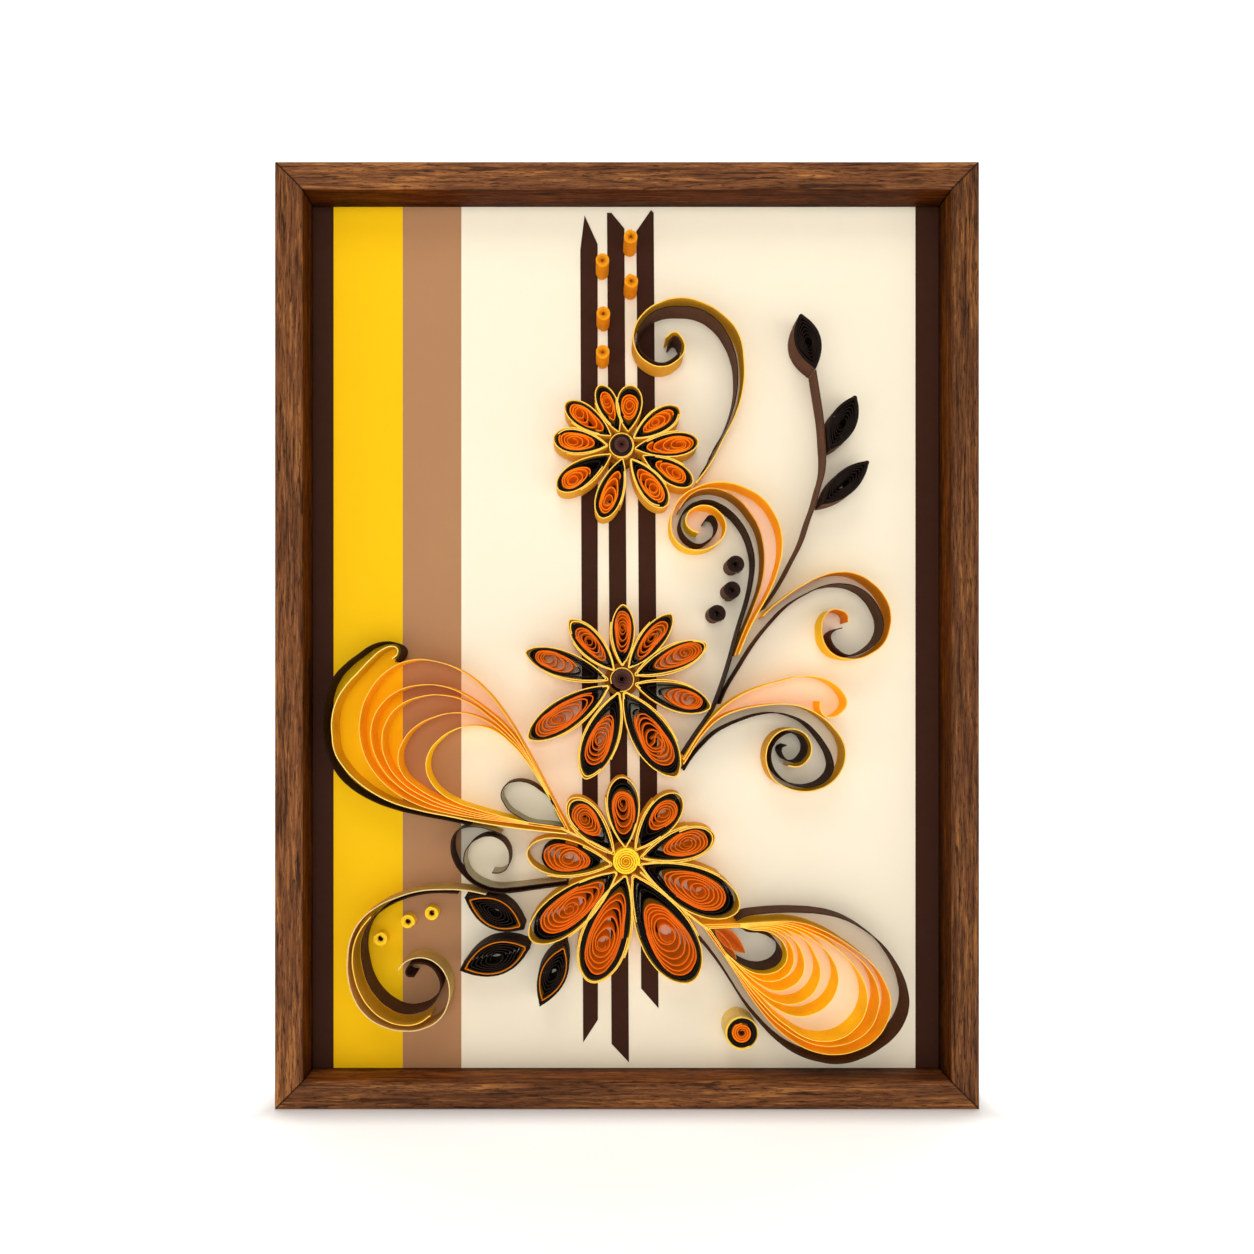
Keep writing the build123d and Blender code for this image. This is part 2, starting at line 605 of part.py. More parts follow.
# The hook scroll's curl lies over a stripe, so both its strips stand on the stripe's face
hook_scroll_gold = [
    (23.6, 52.1), (28.5, 58.7), (33, 67.2), (37, 75.2), (39.5, 83.7), (40, 93.2), (38, 103.2), (32.5, 109.7),
    (25.5, 113.7), (18.5, 115.2), (11.5, 113.7), (6, 110.2), (2.5, 104.2), (3, 97.7), (7, 93.2), (12, 91.7),
    (17, 93.7), (19.7, 97.5), (18.8, 101.5), (16.3, 103.6), (13.3, 101.7),
]
hook_scroll_brown = [
    (14.3, 100.2), (16.5, 102), (18, 100.4), (18.4, 97.8), (16, 94.7), (12, 92.9), (7.7, 94.4),
    (4.3, 98.2), (3.9, 103.7), (6.7, 108.4), (11.5, 111.4), (18, 112.2), (25, 111.2), (30.3, 107.9), (34, 103.2),
    (36.8, 96.7), (37.8, 90.2), (37.5, 83.2), (35.8, 76.2), (32.9, 69.2), (29.3, 62.9),
]
parts["hook_scroll_gold"] = strip([place(p) for p in hook_scroll_gold], stripe_face)
parts["hook_scroll_brown"] = strip([place(p) for p in hook_scroll_brown], stripe_face)

# Left fan: five loops that run back to a corner by the lower daisy, with a teardrop loop inside
left_loops = [
    [(-34.1, -39.3), (-42, -26.3), (-48.5, -18.3), (-56, -12.3), (-65, -8.8), (-73.5, -8.3), (-81.5, -11.8),
     (-88, -19.3), (-91, -28.3), (-90.5, -37.3), (-87, -45.3), (-80.5, -52.3), (-71.5, -57.5),
     (-61.5, -60.4)],
    [(-34.9, -39.3), (-41.5, -30.8), (-47.5, -25.6), (-55.5, -20.1), (-62.5, -17.3), (-70.5, -16.8),
     (-78, -18.8), (-84, -23.8), (-87, -30.3), (-87, -36.8), (-84, -44.3), (-79, -50.3), (-70.5, -55.9),
     (-60.5, -59.5)],
    [(-35.5, -39.1), (-41, -33), (-46.5, -28.1), (-54, -22.8), (-62.5, -20.3), (-70.5, -20.8), (-77.5, -23.8),
     (-82, -29.3), (-83.5, -35.8), (-82, -42.8), (-77.5, -49.3), (-69.5, -54.7), (-59.5, -58.8)],
    [(-36, -39.3), (-40.5, -34.8), (-45.5, -30.6), (-52, -27.3), (-58.5, -26.3), (-66, -27.8), (-72.5, -31.3),
     (-76.5, -36.3), (-78, -41.8), (-76.5, -47.1), (-71.5, -51.8), (-65, -55.6), (-57.5, -58.5)],
    [(-36.5, -39.9), (-39.2, -37.1), (-43.5, -33.4), (-48, -31.3), (-53.5, -30.8), (-59.5, -32.3),
     (-64.5, -35.8), (-67.5, -39.8), (-68.5, -44.8), (-67, -49.5), (-63.5, -53.6), (-58.5, -56.6),
     (-53, -58.6)],
    [(-29.1, -53), (-32.2, -50.8), (-35.1, -49.8), (-38, -49.7), (-40.8, -50.6), (-42.5, -52.7),
     (-42.8, -55), (-42, -56.8), (-40, -59.6), (-37.1, -61.5)],
]
left_runs = nested_loops((-19.7, -66.4), (-0.468, 0.884), (-0.99, 0.14), (6, 14), left_loops)
parts["left_fan_loops"] = rings(left_runs[:-1], fan_paper)
parts["teardrop_loop"] = rings(left_runs[-1:], fan_paper)

# Right fan: eight loops that run back to a corner between two petals, with a dark loop inside
right_loops = [
    [(48, -97.6), (57.5, -97.6), (67.5, -100.8), (76, -105.8), (83.5, -111.8), (88, -118.3), (90, -125.8), (88.5, -132.3),
     (84.5, -137.8), (78.5, -141.3), (71.5, -142.8), (64, -141.8), (57.5, -138.8), (51.5, -134.3), (46, -128.3)],
    [(47, -97.8), (55.5, -98), (63.5, -100.6), (71.5, -104.5), (78.5, -109.5), (83.5, -115.3), (86, -122.3),
     (85.5, -128.3), (83, -133.8), (78, -137.8), (72, -139.8), (66, -139.8), (60, -137.8), (53.5, -133.8), (47.6, -128.5)],
    [(46, -98), (54.5, -98.5), (62, -101.1), (69.5, -105.1), (75.5, -110.3), (80, -116.3), (82, -122.8), (81, -129.3),
     (78, -133.8), (73, -137.3), (66.5, -138.3), (61, -137), (55, -133.3), (49, -128.3)],
    [(45.5, -98.4), (51.5, -98.6), (58, -100.5), (64.5, -104.3), (69.5, -109.3), (72, -115.3), (71.5, -120.8),
     (68.5, -125.8), (64, -128.8), (58.5, -129.8), (52.5, -128), (46.5, -123.6)],
    [(45, -98.8), (50.5, -99.1), (55.5, -100.8), (61, -103.8), (64, -108.3), (66, -114.3), (65, -119.3), (62, -123.3),
     (57.5, -125.5), (52.5, -125.3), (47, -122.6)],
    [(44.5, -99.3), (50, -99.8), (54.5, -101.6), (58, -104.8), (60, -108.8), (60.5, -113.3), (59, -117.3), (55.5, -120),
     (51.5, -121.1), (46.5, -119.6)],
    [(43.5, -99.8), (49, -100.2), (53.5, -102.5), (56, -105.8), (57, -109.8), (56, -113.8), (53.5, -116.5), (49.5, -117.8),
     (45, -117.1)],
    [(43, -100.3), (48, -100.8), (52, -103.1), (54.2, -106.3), (54.7, -109.8), (53, -113.1), (50, -114.9), (46.5, -115.4),
     (42, -114.4)],
    [(41, -100.8), (45.5, -101.3), (49.3, -103.1), (52, -105.8), (52.9, -108.8), (51.5, -111.8), (48.5, -113.5), (45, -113.9),
     (41, -112.8)],
]
right_runs = nested_loops((25.7, -98.6), (0.999, 0.035), (0.581, -0.814), (8, 13), right_loops)
parts["right_fan_loops"] = rings(right_runs[:-1], fan_paper)
parts["right_fan_inner_loop"] = rings(right_runs[-1:], fan_paper)

# Bud: a short curl inside the dark loop, given as (x, z) from that loop's corner
bud_offsets = [
    (8.9, -6.9), (7.9, -4), (5.7, -2.2), (3.7, -1.5), (2.8, -2.2), (3.7, -3.4), (5.3, -4.6), (7.1, -6.2),
]
bud_x, bud_z = right_runs[-1][0]
parts["right_fan_bud"] = strip([(bud_x + x * art_scale, bud_z + z * art_scale) for x, z in bud_offsets])

os.makedirs("parts", exist_ok=True)
for name, shape in parts.items():
    export_step(shape, f"parts/{name}.step")
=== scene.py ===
from math import ceil, cos, dist, pi, radians, sin
from typing import NamedTuple

import bpy
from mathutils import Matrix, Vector, noise


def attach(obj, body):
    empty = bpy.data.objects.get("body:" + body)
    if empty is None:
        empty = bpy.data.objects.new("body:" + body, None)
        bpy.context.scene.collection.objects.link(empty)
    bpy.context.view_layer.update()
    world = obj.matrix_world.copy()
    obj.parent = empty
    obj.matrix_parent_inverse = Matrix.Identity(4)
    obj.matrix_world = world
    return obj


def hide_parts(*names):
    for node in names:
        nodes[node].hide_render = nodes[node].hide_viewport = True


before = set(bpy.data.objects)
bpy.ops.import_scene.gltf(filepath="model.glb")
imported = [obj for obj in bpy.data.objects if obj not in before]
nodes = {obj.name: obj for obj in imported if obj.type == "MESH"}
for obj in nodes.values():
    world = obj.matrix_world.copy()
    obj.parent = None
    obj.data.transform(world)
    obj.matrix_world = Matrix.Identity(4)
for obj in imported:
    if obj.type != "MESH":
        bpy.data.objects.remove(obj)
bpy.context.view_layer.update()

# Framed quilled paper art: the looks of its papers, cards, wood and steel. Sizes are in millimetres
# from the bottom centre of the frame and become metres where a piece is made.
MM = 0.001

FRAME_WIDTH = 239.0
FRAME_HEIGHT = 321.5
MOULDING_FACE = 9.5
FRONT = -10.0
CARD_FACE = 2.0
STRIPE_FACE = 1.8
STRIP_WIDTH = 10.0
LOW_ROLL_HEIGHT = 4.0
MIDDLE = FRAME_HEIGHT / 2
SIGHT_WIDTH = FRAME_WIDTH - 2 * MOULDING_FACE
SIGHT_HEIGHT = FRAME_HEIGHT - 2 * MOULDING_FACE

# Thicknesses of the strips as drawn, and how far a lining stands out
STRIP = 0.36
DARK_STRIP = 0.37
LEAF_STRIP = 0.34
THIN_STRIP = 0.3
FAN_STRIP = 0.25
FAN_TAIL = 0.7
LINED_STRIP = 0.2
LINING = 0.16
LINING_HEIGHT = 9.96

# Centres of the flowers and the target roll, from the centre of the opening
FLOWERS = {"upper": (-1.9, 64.9), "middle": (-1.7, -14.9), "lower": (-0.3, -76.9)}
TARGET = (39.3, -135.5)


# Shader maths
class Shade:
    """A socket of a material's nodes. Arithmetic on it adds Math nodes."""

    def __init__(self, surface, socket):
        self.surface = surface
        self.socket = socket

    def __add__(self, other):
        return self.surface.maths("ADD", self, other)

    __radd__ = __add__

    def __mul__(self, other):
        return self.surface.maths("MULTIPLY", self, other)

    __rmul__ = __mul__

    def __sub__(self, other):
        return self.surface.maths("SUBTRACT", self, other)

    def __rsub__(self, other):
        return self.surface.maths("SUBTRACT", other, self)


class Surface:
    """A material made of nodes that feed one Principled shader."""

    def __init__(self, name):
        self.material = bpy.data.materials.new(name)
        self.material.use_nodes = True
        self.tree = self.material.node_tree
        self.shader = self.tree.nodes["Principled BSDF"]
        self.place = self.node("TexCoord", "Object")

    def feed(self, socket, value):
        if isinstance(value, Shade):
            self.tree.links.new(value.socket, socket)
        else:
            socket.default_value = value

    def node(self, kind, output, sockets=None, stops=None, **settings):
        """Adds a node, sets it up, feeds its sockets and gives the named output."""
        made = self.tree.nodes.new("ShaderNode" + kind)
        for name, value in settings.items():
            setattr(made, name, value)
        if stops:
            ramp = made.color_ramp
            while len(ramp.elements) < len(stops):
                ramp.elements.new(1.0)
            for element, (position, colour) in zip(ramp.elements, stops):
                element.position = position
                element.color = colour
        for name, value in (sockets or {}).items():
            self.feed(made.inputs[name], value)
        return Shade(self, made.outputs[output])

    def maths(self, operation, first, second=0.0, **settings):
        return self.node("Math", 0, {0: first, 1: second}, operation=operation, **settings)

    def scaled(self, x, y, z, shift=(0.0, 0.0, 0.0)):
        """Object coordinates stretched by a number of repeats a metre along each axis."""
        sockets = {"Vector": self.place, "Scale": (x, y, z), "Location": shift}
        return self.node("Mapping", "Vector", sockets)

    def coordinate(self, axis):
        """Object coordinate along x, y or z, numbered from 0."""
        return self.node("SeparateXYZ", axis, {0: self.place})

    def noise(self, vector, scale, detail=3.0, roughness=0.55, distortion=0.0):
        sockets = {"Vector": vector, "Scale": scale, "Detail": detail, "Roughness": roughness}
        sockets["Distortion"] = distortion
        return self.node("TexNoise", 0, sockets)

    def ramp(self, value, stops):
        return self.node("ValToRGB", "Color", {"Fac": value}, stops=stops)

    def spread(self, value, low, high, to_low=0.0, to_high=1.0):
        """Takes a value's range from low to high onto another range."""
        sockets = {0: value, 1: low, 2: high, 3: to_low, 4: to_high}
        return self.node("MapRange", 0, sockets)

    def mix(self, factor, first, second, blend="MIX"):
        made = self.tree.nodes.new("ShaderNodeMix")
        made.data_type = "RGBA"
        made.blend_type = blend
        self.feed(made.inputs[0], factor)
        self.feed(made.inputs[6], first)
        self.feed(made.inputs[7], second)
        return Shade(self, made.outputs[2])

    def facing_front(self):
        """1 on faces that look out of the frame, which are the cut edges of the strips."""
        normal = self.node("NewGeometry", "Normal")
        outward = self.node("SeparateXYZ", 1, {0: normal})
        return self.spread(outward, -0.6, -0.9)

    def inside_opening(self):
        """1 on the walls that line the frame's opening and 0 on its front and outer faces."""
        x = self.maths("ABSOLUTE", self.coordinate(0))
        z = self.maths("ABSOLUTE", self.coordinate(2) - MIDDLE * MM)
        beyond_side = x - SIGHT_WIDTH / 2 * MM
        beyond_end = z - SIGHT_HEIGHT / 2 * MM
        return self.spread(self.maths("MAXIMUM", beyond_side, beyond_end), 0.15 * MM, 0.02 * MM)

    def mitre_line(self):
        """1 along the joints at the frame's corners."""
        x = self.maths("ABSOLUTE", self.coordinate(0)) - FRAME_WIDTH / 2 * MM
        z = self.maths("ABSOLUTE", self.coordinate(2) - MIDDLE * MM) - MIDDLE * MM
        return self.spread(self.maths("ABSOLUTE", x - z), 0.5 * MM, 0.2 * MM)

    def bump(self, height, strength, depth):
        normal = self.node("Bump", 0, {"Height": height, "Strength": strength, "Distance": depth})
        self.feed(self.shader.inputs["Normal"], normal)

    def finish(self, colour, roughness, specular=0.5):
        self.feed(self.shader.inputs["Base Color"], colour)
        self.feed(self.shader.inputs["Roughness"], roughness)
        self.shader.inputs["Specular IOR Level"].default_value = specular
        return self.material


def rgb(red, green, blue):
    """An sRGB colour from 0 to 255 a channel as a shader colour."""
    channels = []
    for channel in (red, green, blue):
        share = channel / 255
        channels.append(share / 12.92 if share <= 0.04045 else ((share + 0.055) / 1.055) ** 2.4)
    return (*channels, 1.0)


def darker(colour, share):
    return (*[channel * share for channel in colour[:3]], 1.0)


# Papers, cards, wood and metal
# Colour of the papers' painted glow, which stands in for translucence
WARM_GLOW = rgb(255, 190, 16)


class Finish(NamedTuple):
    """A material and the slot that it fills."""

    material: bpy.types.Material
    slot: str


def quilling_paper(name, family, face, edge, variation=0.22, painted_glow=0.0):
    """Dyed paper strip: fine fibres, uneven dye, a cut edge of its own colour that is also a painted
    highlight on the light papers, and a painted glow that stands in for translucence.
    """
    roughness = 0.72
    face, edge = rgb(*face), rgb(*edge)
    s = Surface(f"{name}_paper")
    fibre = s.noise(s.scaled(1400.0, 500.0, 1400.0), 1.0, detail=4.0, roughness=0.7)
    dye = s.noise(s.place, 90.0, detail=2.0)
    tone = s.mix(s.spread(dye, 0.35, 0.65), darker(face, 1.0 - variation), face)
    tone = s.mix(s.spread(fibre, 0.3, 0.75) * 0.35, tone, darker(face, 0.6))
    nick = s.noise(s.place, 700.0, detail=3.0)
    # Cut edges: where the edge colour is paler than the face, as on the gold and amber papers, it is a
    # painted highlight where the rims face the lamps
    cut_edge_and_highlight = s.mix(s.spread(nick, 0.35, 0.7), edge, darker(edge, 0.84))
    s.bump(fibre, 0.25, 0.0001)
    colour = s.mix(s.facing_front(), tone, cut_edge_and_highlight)
    # Painted glow: the paper gives off light of its own, tinted warm, as if lit from within
    s.feed(s.shader.inputs["Emission Color"], s.mix(0.55, colour, WARM_GLOW))
    s.shader.inputs["Emission Strength"].default_value = painted_glow
    s.finish(colour, s.spread(fibre, 0.3, 0.7, roughness - 0.1, roughness + 0.1), 0.12)
    return Finish(s.material, f"{family}_paper")


def card(name, face, fleck, mottle=0.06):
    """Smooth matt card with fibres, faint mottling and sparse flecks."""
    roughness = 0.85
    face, fleck = rgb(*face), rgb(*fleck)
    s = Surface(name)
    pulp = s.noise(s.place, 260.0, detail=5.0, roughness=0.7)
    cloud = s.noise(s.place, 22.0, detail=2.0)
    grain = s.noise(s.place, 2600.0, detail=3.0, roughness=0.8)
    tone = s.mix(s.spread(cloud, 0.3, 0.7), darker(face, 1.0 - mottle), face)
    tone = s.mix(s.spread(pulp, 0.35, 0.7) * 0.25, tone, darker(face, 1.0 - 2 * mottle))
    tone = s.mix(s.spread(grain, 0.62, 0.8) * 0.3, tone, fleck)
    s.bump(grain, 0.2, 0.00012)
    return s.finish(tone, s.spread(pulp, 0.3, 0.7, roughness - 0.08, roughness + 0.08), 0.12)


def stained_wood(name, along, seed, inner_shade, side_shade):
    """Open-grained wood, stained brown: streaks and pores run along one axis. Painted light and shade fall
    on each rail and on the walls of the opening.
    """
    s = Surface(name)

    def stretched(run, across):
        x, z = (run, across) if along == "X" else (across, run)
        return s.scaled(x, across, z, (seed, seed * 0.7, seed * 1.3))

    band = s.noise(stretched(9.0, 90.0), 1.0, detail=3.0, roughness=0.6, distortion=1.4)
    streak = s.noise(stretched(60.0, 1000.0), 1.0, detail=6.0, roughness=0.75, distortion=0.3)
    pore = s.noise(stretched(260.0, 2600.0), 1.0, detail=3.0, roughness=0.65)
    vein = s.noise(stretched(36.0, 800.0), 1.0, detail=3.0, distortion=1.0)
    tone = s.ramp(band * 0.35 + streak * 0.65, [
        (0.34, rgb(52, 29, 17)),
        (0.44, rgb(94, 57, 34)),
        (0.53, rgb(126, 79, 47)),
        (0.63, rgb(178, 118, 64)),
    ])
    pits = s.spread(pore, 0.56, 0.66)
    tone = s.mix(pits * 0.8, tone, rgb(44, 26, 18))
    tone = s.mix(s.spread(vein, 0.6, 0.64) * 0.75, tone, rgb(44, 27, 20))
    # Painted shade: each rail darkened or lightened by a factor of its own, the right one darkest
    tone = s.mix(1.0, tone, (side_shade, side_shade, side_shade, 1.0), "MULTIPLY")
    tone = s.mix(s.mitre_line() * 0.85, tone, rgb(24, 14, 10))
    # Painted light and shade on the walls of the opening, darkest on the top rail and lightest on the
    # bottom one, and a painted shadow that darkens them towards the card
    lip = s.inside_opening()
    depth = s.coordinate(1)
    shaded = s.mix(1.0, tone, inner_shade, "MULTIPLY")
    shaded = s.mix(s.spread(depth, -2.0 * MM, 2.0 * MM, 0.0, 0.7), shaded, rgb(14, 8, 5))
    tone = s.mix(lip, tone, shaded)
    s.bump((1.0 - pits) * 0.7 + streak * 0.6, 0.6, 0.0004)
    return s.finish(tone, s.spread(streak, 0.3, 0.7, 0.7, 0.55), 0.08)


def hardboard(name):
    """Pressed-fibre board: brown, hairy and slightly shiny."""
    s = Surface(name)
    hair = s.noise(s.scaled(900.0, 900.0, 300.0), 1.0, detail=6.0, roughness=0.75, distortion=1.2)
    lump = s.noise(s.place, 140.0, detail=4.0)
    tone = s.ramp(hair * 0.6 + lump * 0.4, [
        (0.32, rgb(70, 44, 26)), (0.5, rgb(112, 76, 46)), (0.66, rgb(150, 110, 72)),
    ])
    s.bump(hair, 0.5, 0.0003)
    return s.finish(tone, s.spread(hair, 0.3, 0.7, 0.7, 0.9), 0.3)


def plated_steel(name):
    """Stamped, plated steel: fine rolling lines and dull and bright patches."""
    s = Surface(name)
    rolled = s.noise(s.scaled(60.0, 900.0, 2400.0), 1.0, detail=3.0)
    patch = s.noise(s.place, 300.0, detail=4.0)
    tone = s.ramp(patch, [
        (0.3, rgb(150, 142, 126)), (0.55, rgb(192, 186, 172)), (0.75, rgb(214, 210, 200)),
    ])
    s.shader.inputs["Metallic"].default_value = 0.9
    s.bump(rolled, 0.25, 0.00008)
    return s.finish(tone, s.spread(rolled * 0.5 + patch * 0.5, 0.3, 0.7, 0.28, 0.5), 0.5)


gold = quilling_paper("gold", "gold", (230, 160, 46), (255, 206, 88), painted_glow=0.12)
pale_gold = quilling_paper("pale_gold", "gold", (250, 216, 134), (252, 206, 70), painted_glow=0.12)
amber = quilling_paper("amber", "amber", (255, 194, 16), (255, 212, 90), painted_glow=0.22)
orange = quilling_paper("orange", "orange", (255, 126, 6), (255, 122, 4), variation=0.14, painted_glow=0.08)
red_orange = quilling_paper(
    "red_orange", "orange", (238, 106, 14), (228, 90, 8), variation=0.34, painted_glow=0.1,
)
bead_orange = quilling_paper("bead_orange", "orange", (246, 146, 8), (255, 162, 22), painted_glow=0.04)
dark = quilling_paper("dark", "dark", (20, 13, 9), (20, 13, 9))
brown = quilling_paper("brown", "brown", (90, 56, 36), (46, 26, 16))
yellow = quilling_paper("yellow", "yellow", (255, 204, 32), (255, 216, 52), painted_glow=0.18)
leaf_brown = quilling_paper("leaf_brown", "dark", (62, 37, 25), (22, 14, 10))
leaf_light = quilling_paper("leaf_light", "dark", (96, 60, 42), (24, 15, 11))
leaf_dark = quilling_paper("leaf_dark", "dark", (22, 14, 10), (33, 21, 15))
stem_brown = quilling_paper("stem_brown", "brown", (98, 62, 44), (70, 42, 30))
deep_brown = quilling_paper("deep_brown", "brown", (60, 33, 17), (26, 14, 8))
brown_roll = quilling_paper("brown_roll", "brown", (100, 66, 48), (42, 27, 22))
centre_brown = quilling_paper("centre_brown", "brown", (86, 50, 42), (88, 52, 44))
bright_orange = quilling_paper("bright_orange", "orange", (255, 158, 12), (255, 184, 80), painted_glow=0.3)
burnt_orange = quilling_paper("burnt_orange", "orange", (236, 116, 12), (240, 150, 50), painted_glow=0.14)
light_orange = quilling_paper("light_orange", "orange", (255, 170, 28), (255, 190, 90), painted_glow=0.34)
# Amber darkened as painted shade, for the gold strip of the crest scroll
shaded_amber = quilling_paper("shaded_amber", "gold", (212, 122, 12), (240, 166, 70), painted_glow=0.05)
# Gold darkened as painted shade, for the base turns round each flower's centre between the petals' tips
shaded_base_gold = quilling_paper("shaded_base_gold", "gold", (140, 86, 18), (150, 96, 26))
fan_gold = quilling_paper("fan_gold", "gold", (222, 170, 22), (255, 226, 120), painted_glow=0.1)
tan_gold = quilling_paper("tan_gold", "gold", (220, 178, 98), (244, 212, 150))
fan_orange = quilling_paper("fan_orange", "amber", (255, 176, 26), (255, 198, 90), painted_glow=0.17)
ring_orange = quilling_paper("ring_orange", "orange", (210, 104, 8), (218, 112, 10), painted_glow=0.1)
# A pale ply coloured as the cream card in shade: painted shade on one face of the tendrils and the
# teardrop
shaded_card_lining = quilling_paper("shaded_card_lining", "brown", (196, 184, 152), (52, 32, 24))
bud_orange = quilling_paper("bud_orange", "orange", (226, 104, 40), (244, 140, 60), painted_glow=0.08)
dark_card = card("dark_card", (60, 33, 22), (84, 56, 44))
yellow_card = card("yellow_card", (253, 200, 14), (255, 222, 90), mottle=0.03)
tan_card = card("tan_card", (180, 133, 95), (204, 164, 128), mottle=0.05)
cream_card = card("cream_card", (250, 241, 220), (255, 250, 238), mottle=0.015)
board_fibre = hardboard("hardboard")
steel = Finish(plated_steel("plated_steel"), "steel")


# Making pieces
def only(piece):
    bpy.ops.object.select_all(action="DESELECT")
    piece.select_set(True)
    bpy.context.view_layer.objects.active = piece


def dressed(piece, finish, *replaced):
    """Gives a finished piece its material and puts it in the model in place of its CAD node."""
    material, slot = finish
    piece.data.materials.clear()
    piece.data.materials.append(material)
    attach(piece, "root")
    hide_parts(*replaced)


def drawn(name, runs, seat, smooth, closed, pointed):
    """Smooth curves on the card along the points of each run, made into edges."""
    bpy.ops.object.select_all(action="DESELECT")
    bpy.ops.curve.primitive_bezier_curve_add()
    piece = bpy.context.object
    piece.name = name
    curve = piece.data
    curve.splines.clear()
    curve.resolution_u = smooth
    for run in runs:
        spline = curve.splines.new("BEZIER")
        spline.bezier_points.add(len(run) - 1)
        spline.resolution_u = smooth
        for knot, (x, z) in zip(spline.bezier_points, run):
            knot.co = (x * MM, seat * MM, z * MM)
            knot.handle_left_type = "AUTO"
            knot.handle_right_type = "AUTO"
        spline.use_cyclic_u = closed
        if pointed:
            spline.bezier_points[0].handle_left_type = "VECTOR"
            spline.bezier_points[0].handle_right_type = "VECTOR"
    bpy.ops.object.convert(target="MESH")
    return bpy.context.object


def stand_strips(name, runs, thickness, seat=CARD_FACE, height=STRIP_WIDTH, smooth=3,
                 closed=False, pointed=False, uneven=0.12, side=0.0):
    """Strips on edge along curves: pulled out from the card, cut a little unevenly and thickened."""
    waves_a_metre = 70
    piece = drawn(name, runs, seat, smooth, closed, pointed)
    bpy.ops.object.mode_set(mode="EDIT")
    bpy.ops.mesh.select_mode(type="EDGE")
    bpy.ops.mesh.select_all(action="SELECT")
    bpy.ops.mesh.extrude_edges_move(TRANSFORM_OT_translate={"value": (0.0, -height * MM, 0.0)})
    bpy.ops.object.mode_set(mode="OBJECT")
    halfway = (seat - height / 2) * MM
    for vertex in piece.data.vertices:
        if vertex.co.y < halfway:
            wave = (vertex.co.x * waves_a_metre, vertex.co.z * waves_a_metre, len(runs))
            vertex.co.y += uneven * MM * noise.noise(wave)
    wall = piece.modifiers.new("paper", "SOLIDIFY")
    wall.thickness = thickness * MM
    wall.offset = side
    wall.use_even_offset = True
    wall.thickness_clamp = 1.0
    bpy.ops.object.modifier_apply(modifier="paper")
    bpy.ops.object.shade_smooth_by_angle(angle=radians(40))
    return piece


def placed(points):
    """Layout points, taken from the centre of the opening, at their height in the frame."""
    return [(x, MIDDLE + z) for x, z in points]


def between(first, second, share):
    return tuple(a + (b - a) * share for a, b in zip(first, second))


def direction(start, stop):
    length = dist(start, stop)
    return ((stop[0] - start[0]) / length, (stop[1] - start[1]) / length)


def beside(start, way, along, across):
    """Point at a distance along a line from its start and across it."""
    return (start[0] + way[0] * along - way[1] * across, start[1] + way[1] * along + way[0] * across)


def loosened(point, amount, seed):
    """Moves a point a little, and its neighbours with it, as in a coil set by hand."""
    x, z = point
    waves_a_millimetre = 0.16
    wave = (x * waves_a_millimetre, z * waves_a_millimetre)
    return (x + amount * noise.noise((*wave, seed)), z + amount * noise.noise((*wave, seed + 9.5)))


# Pinched coils
def leaf_point(tip, end, width, tip_pinch, end_pinch, turn):
    """Point of a leaf or drop outline at an angle that starts at its tip."""

    def swell(angle):
        return sin(angle) * abs(sin(angle / 2)) ** tip_pinch * abs(cos(angle / 2)) ** end_pinch

    widest = max(swell(pi * i / 60) for i in range(1, 60))
    along = dist(tip, end) / 2 * (1 - cos(turn))
    across = -width / 2 * swell(turn) / widest
    return beside(tip, direction(tip, end), along, across)


def oval_point(centre, way, half_length, half_width, pinch, turn):
    """Point of an oval that is pinched towards the tip side, at an angle that starts there."""
    along = -half_length * cos(turn)
    across = -half_width * sin(turn) * (1 - pinch * (1 + cos(turn)) / 2)
    return beside(centre, way, along, across)


class Petal(NamedTuple):
    """A petal's outline, and its orange coil and the coil's eye as shares of the petal's sizes."""

    tip: tuple
    end: tuple
    width: float
    coil_start: float
    coil_stop: float
    coil_share: float
    coil_turns: float
    eye_place: float
    eye_share: float
    slack: float = 0.0


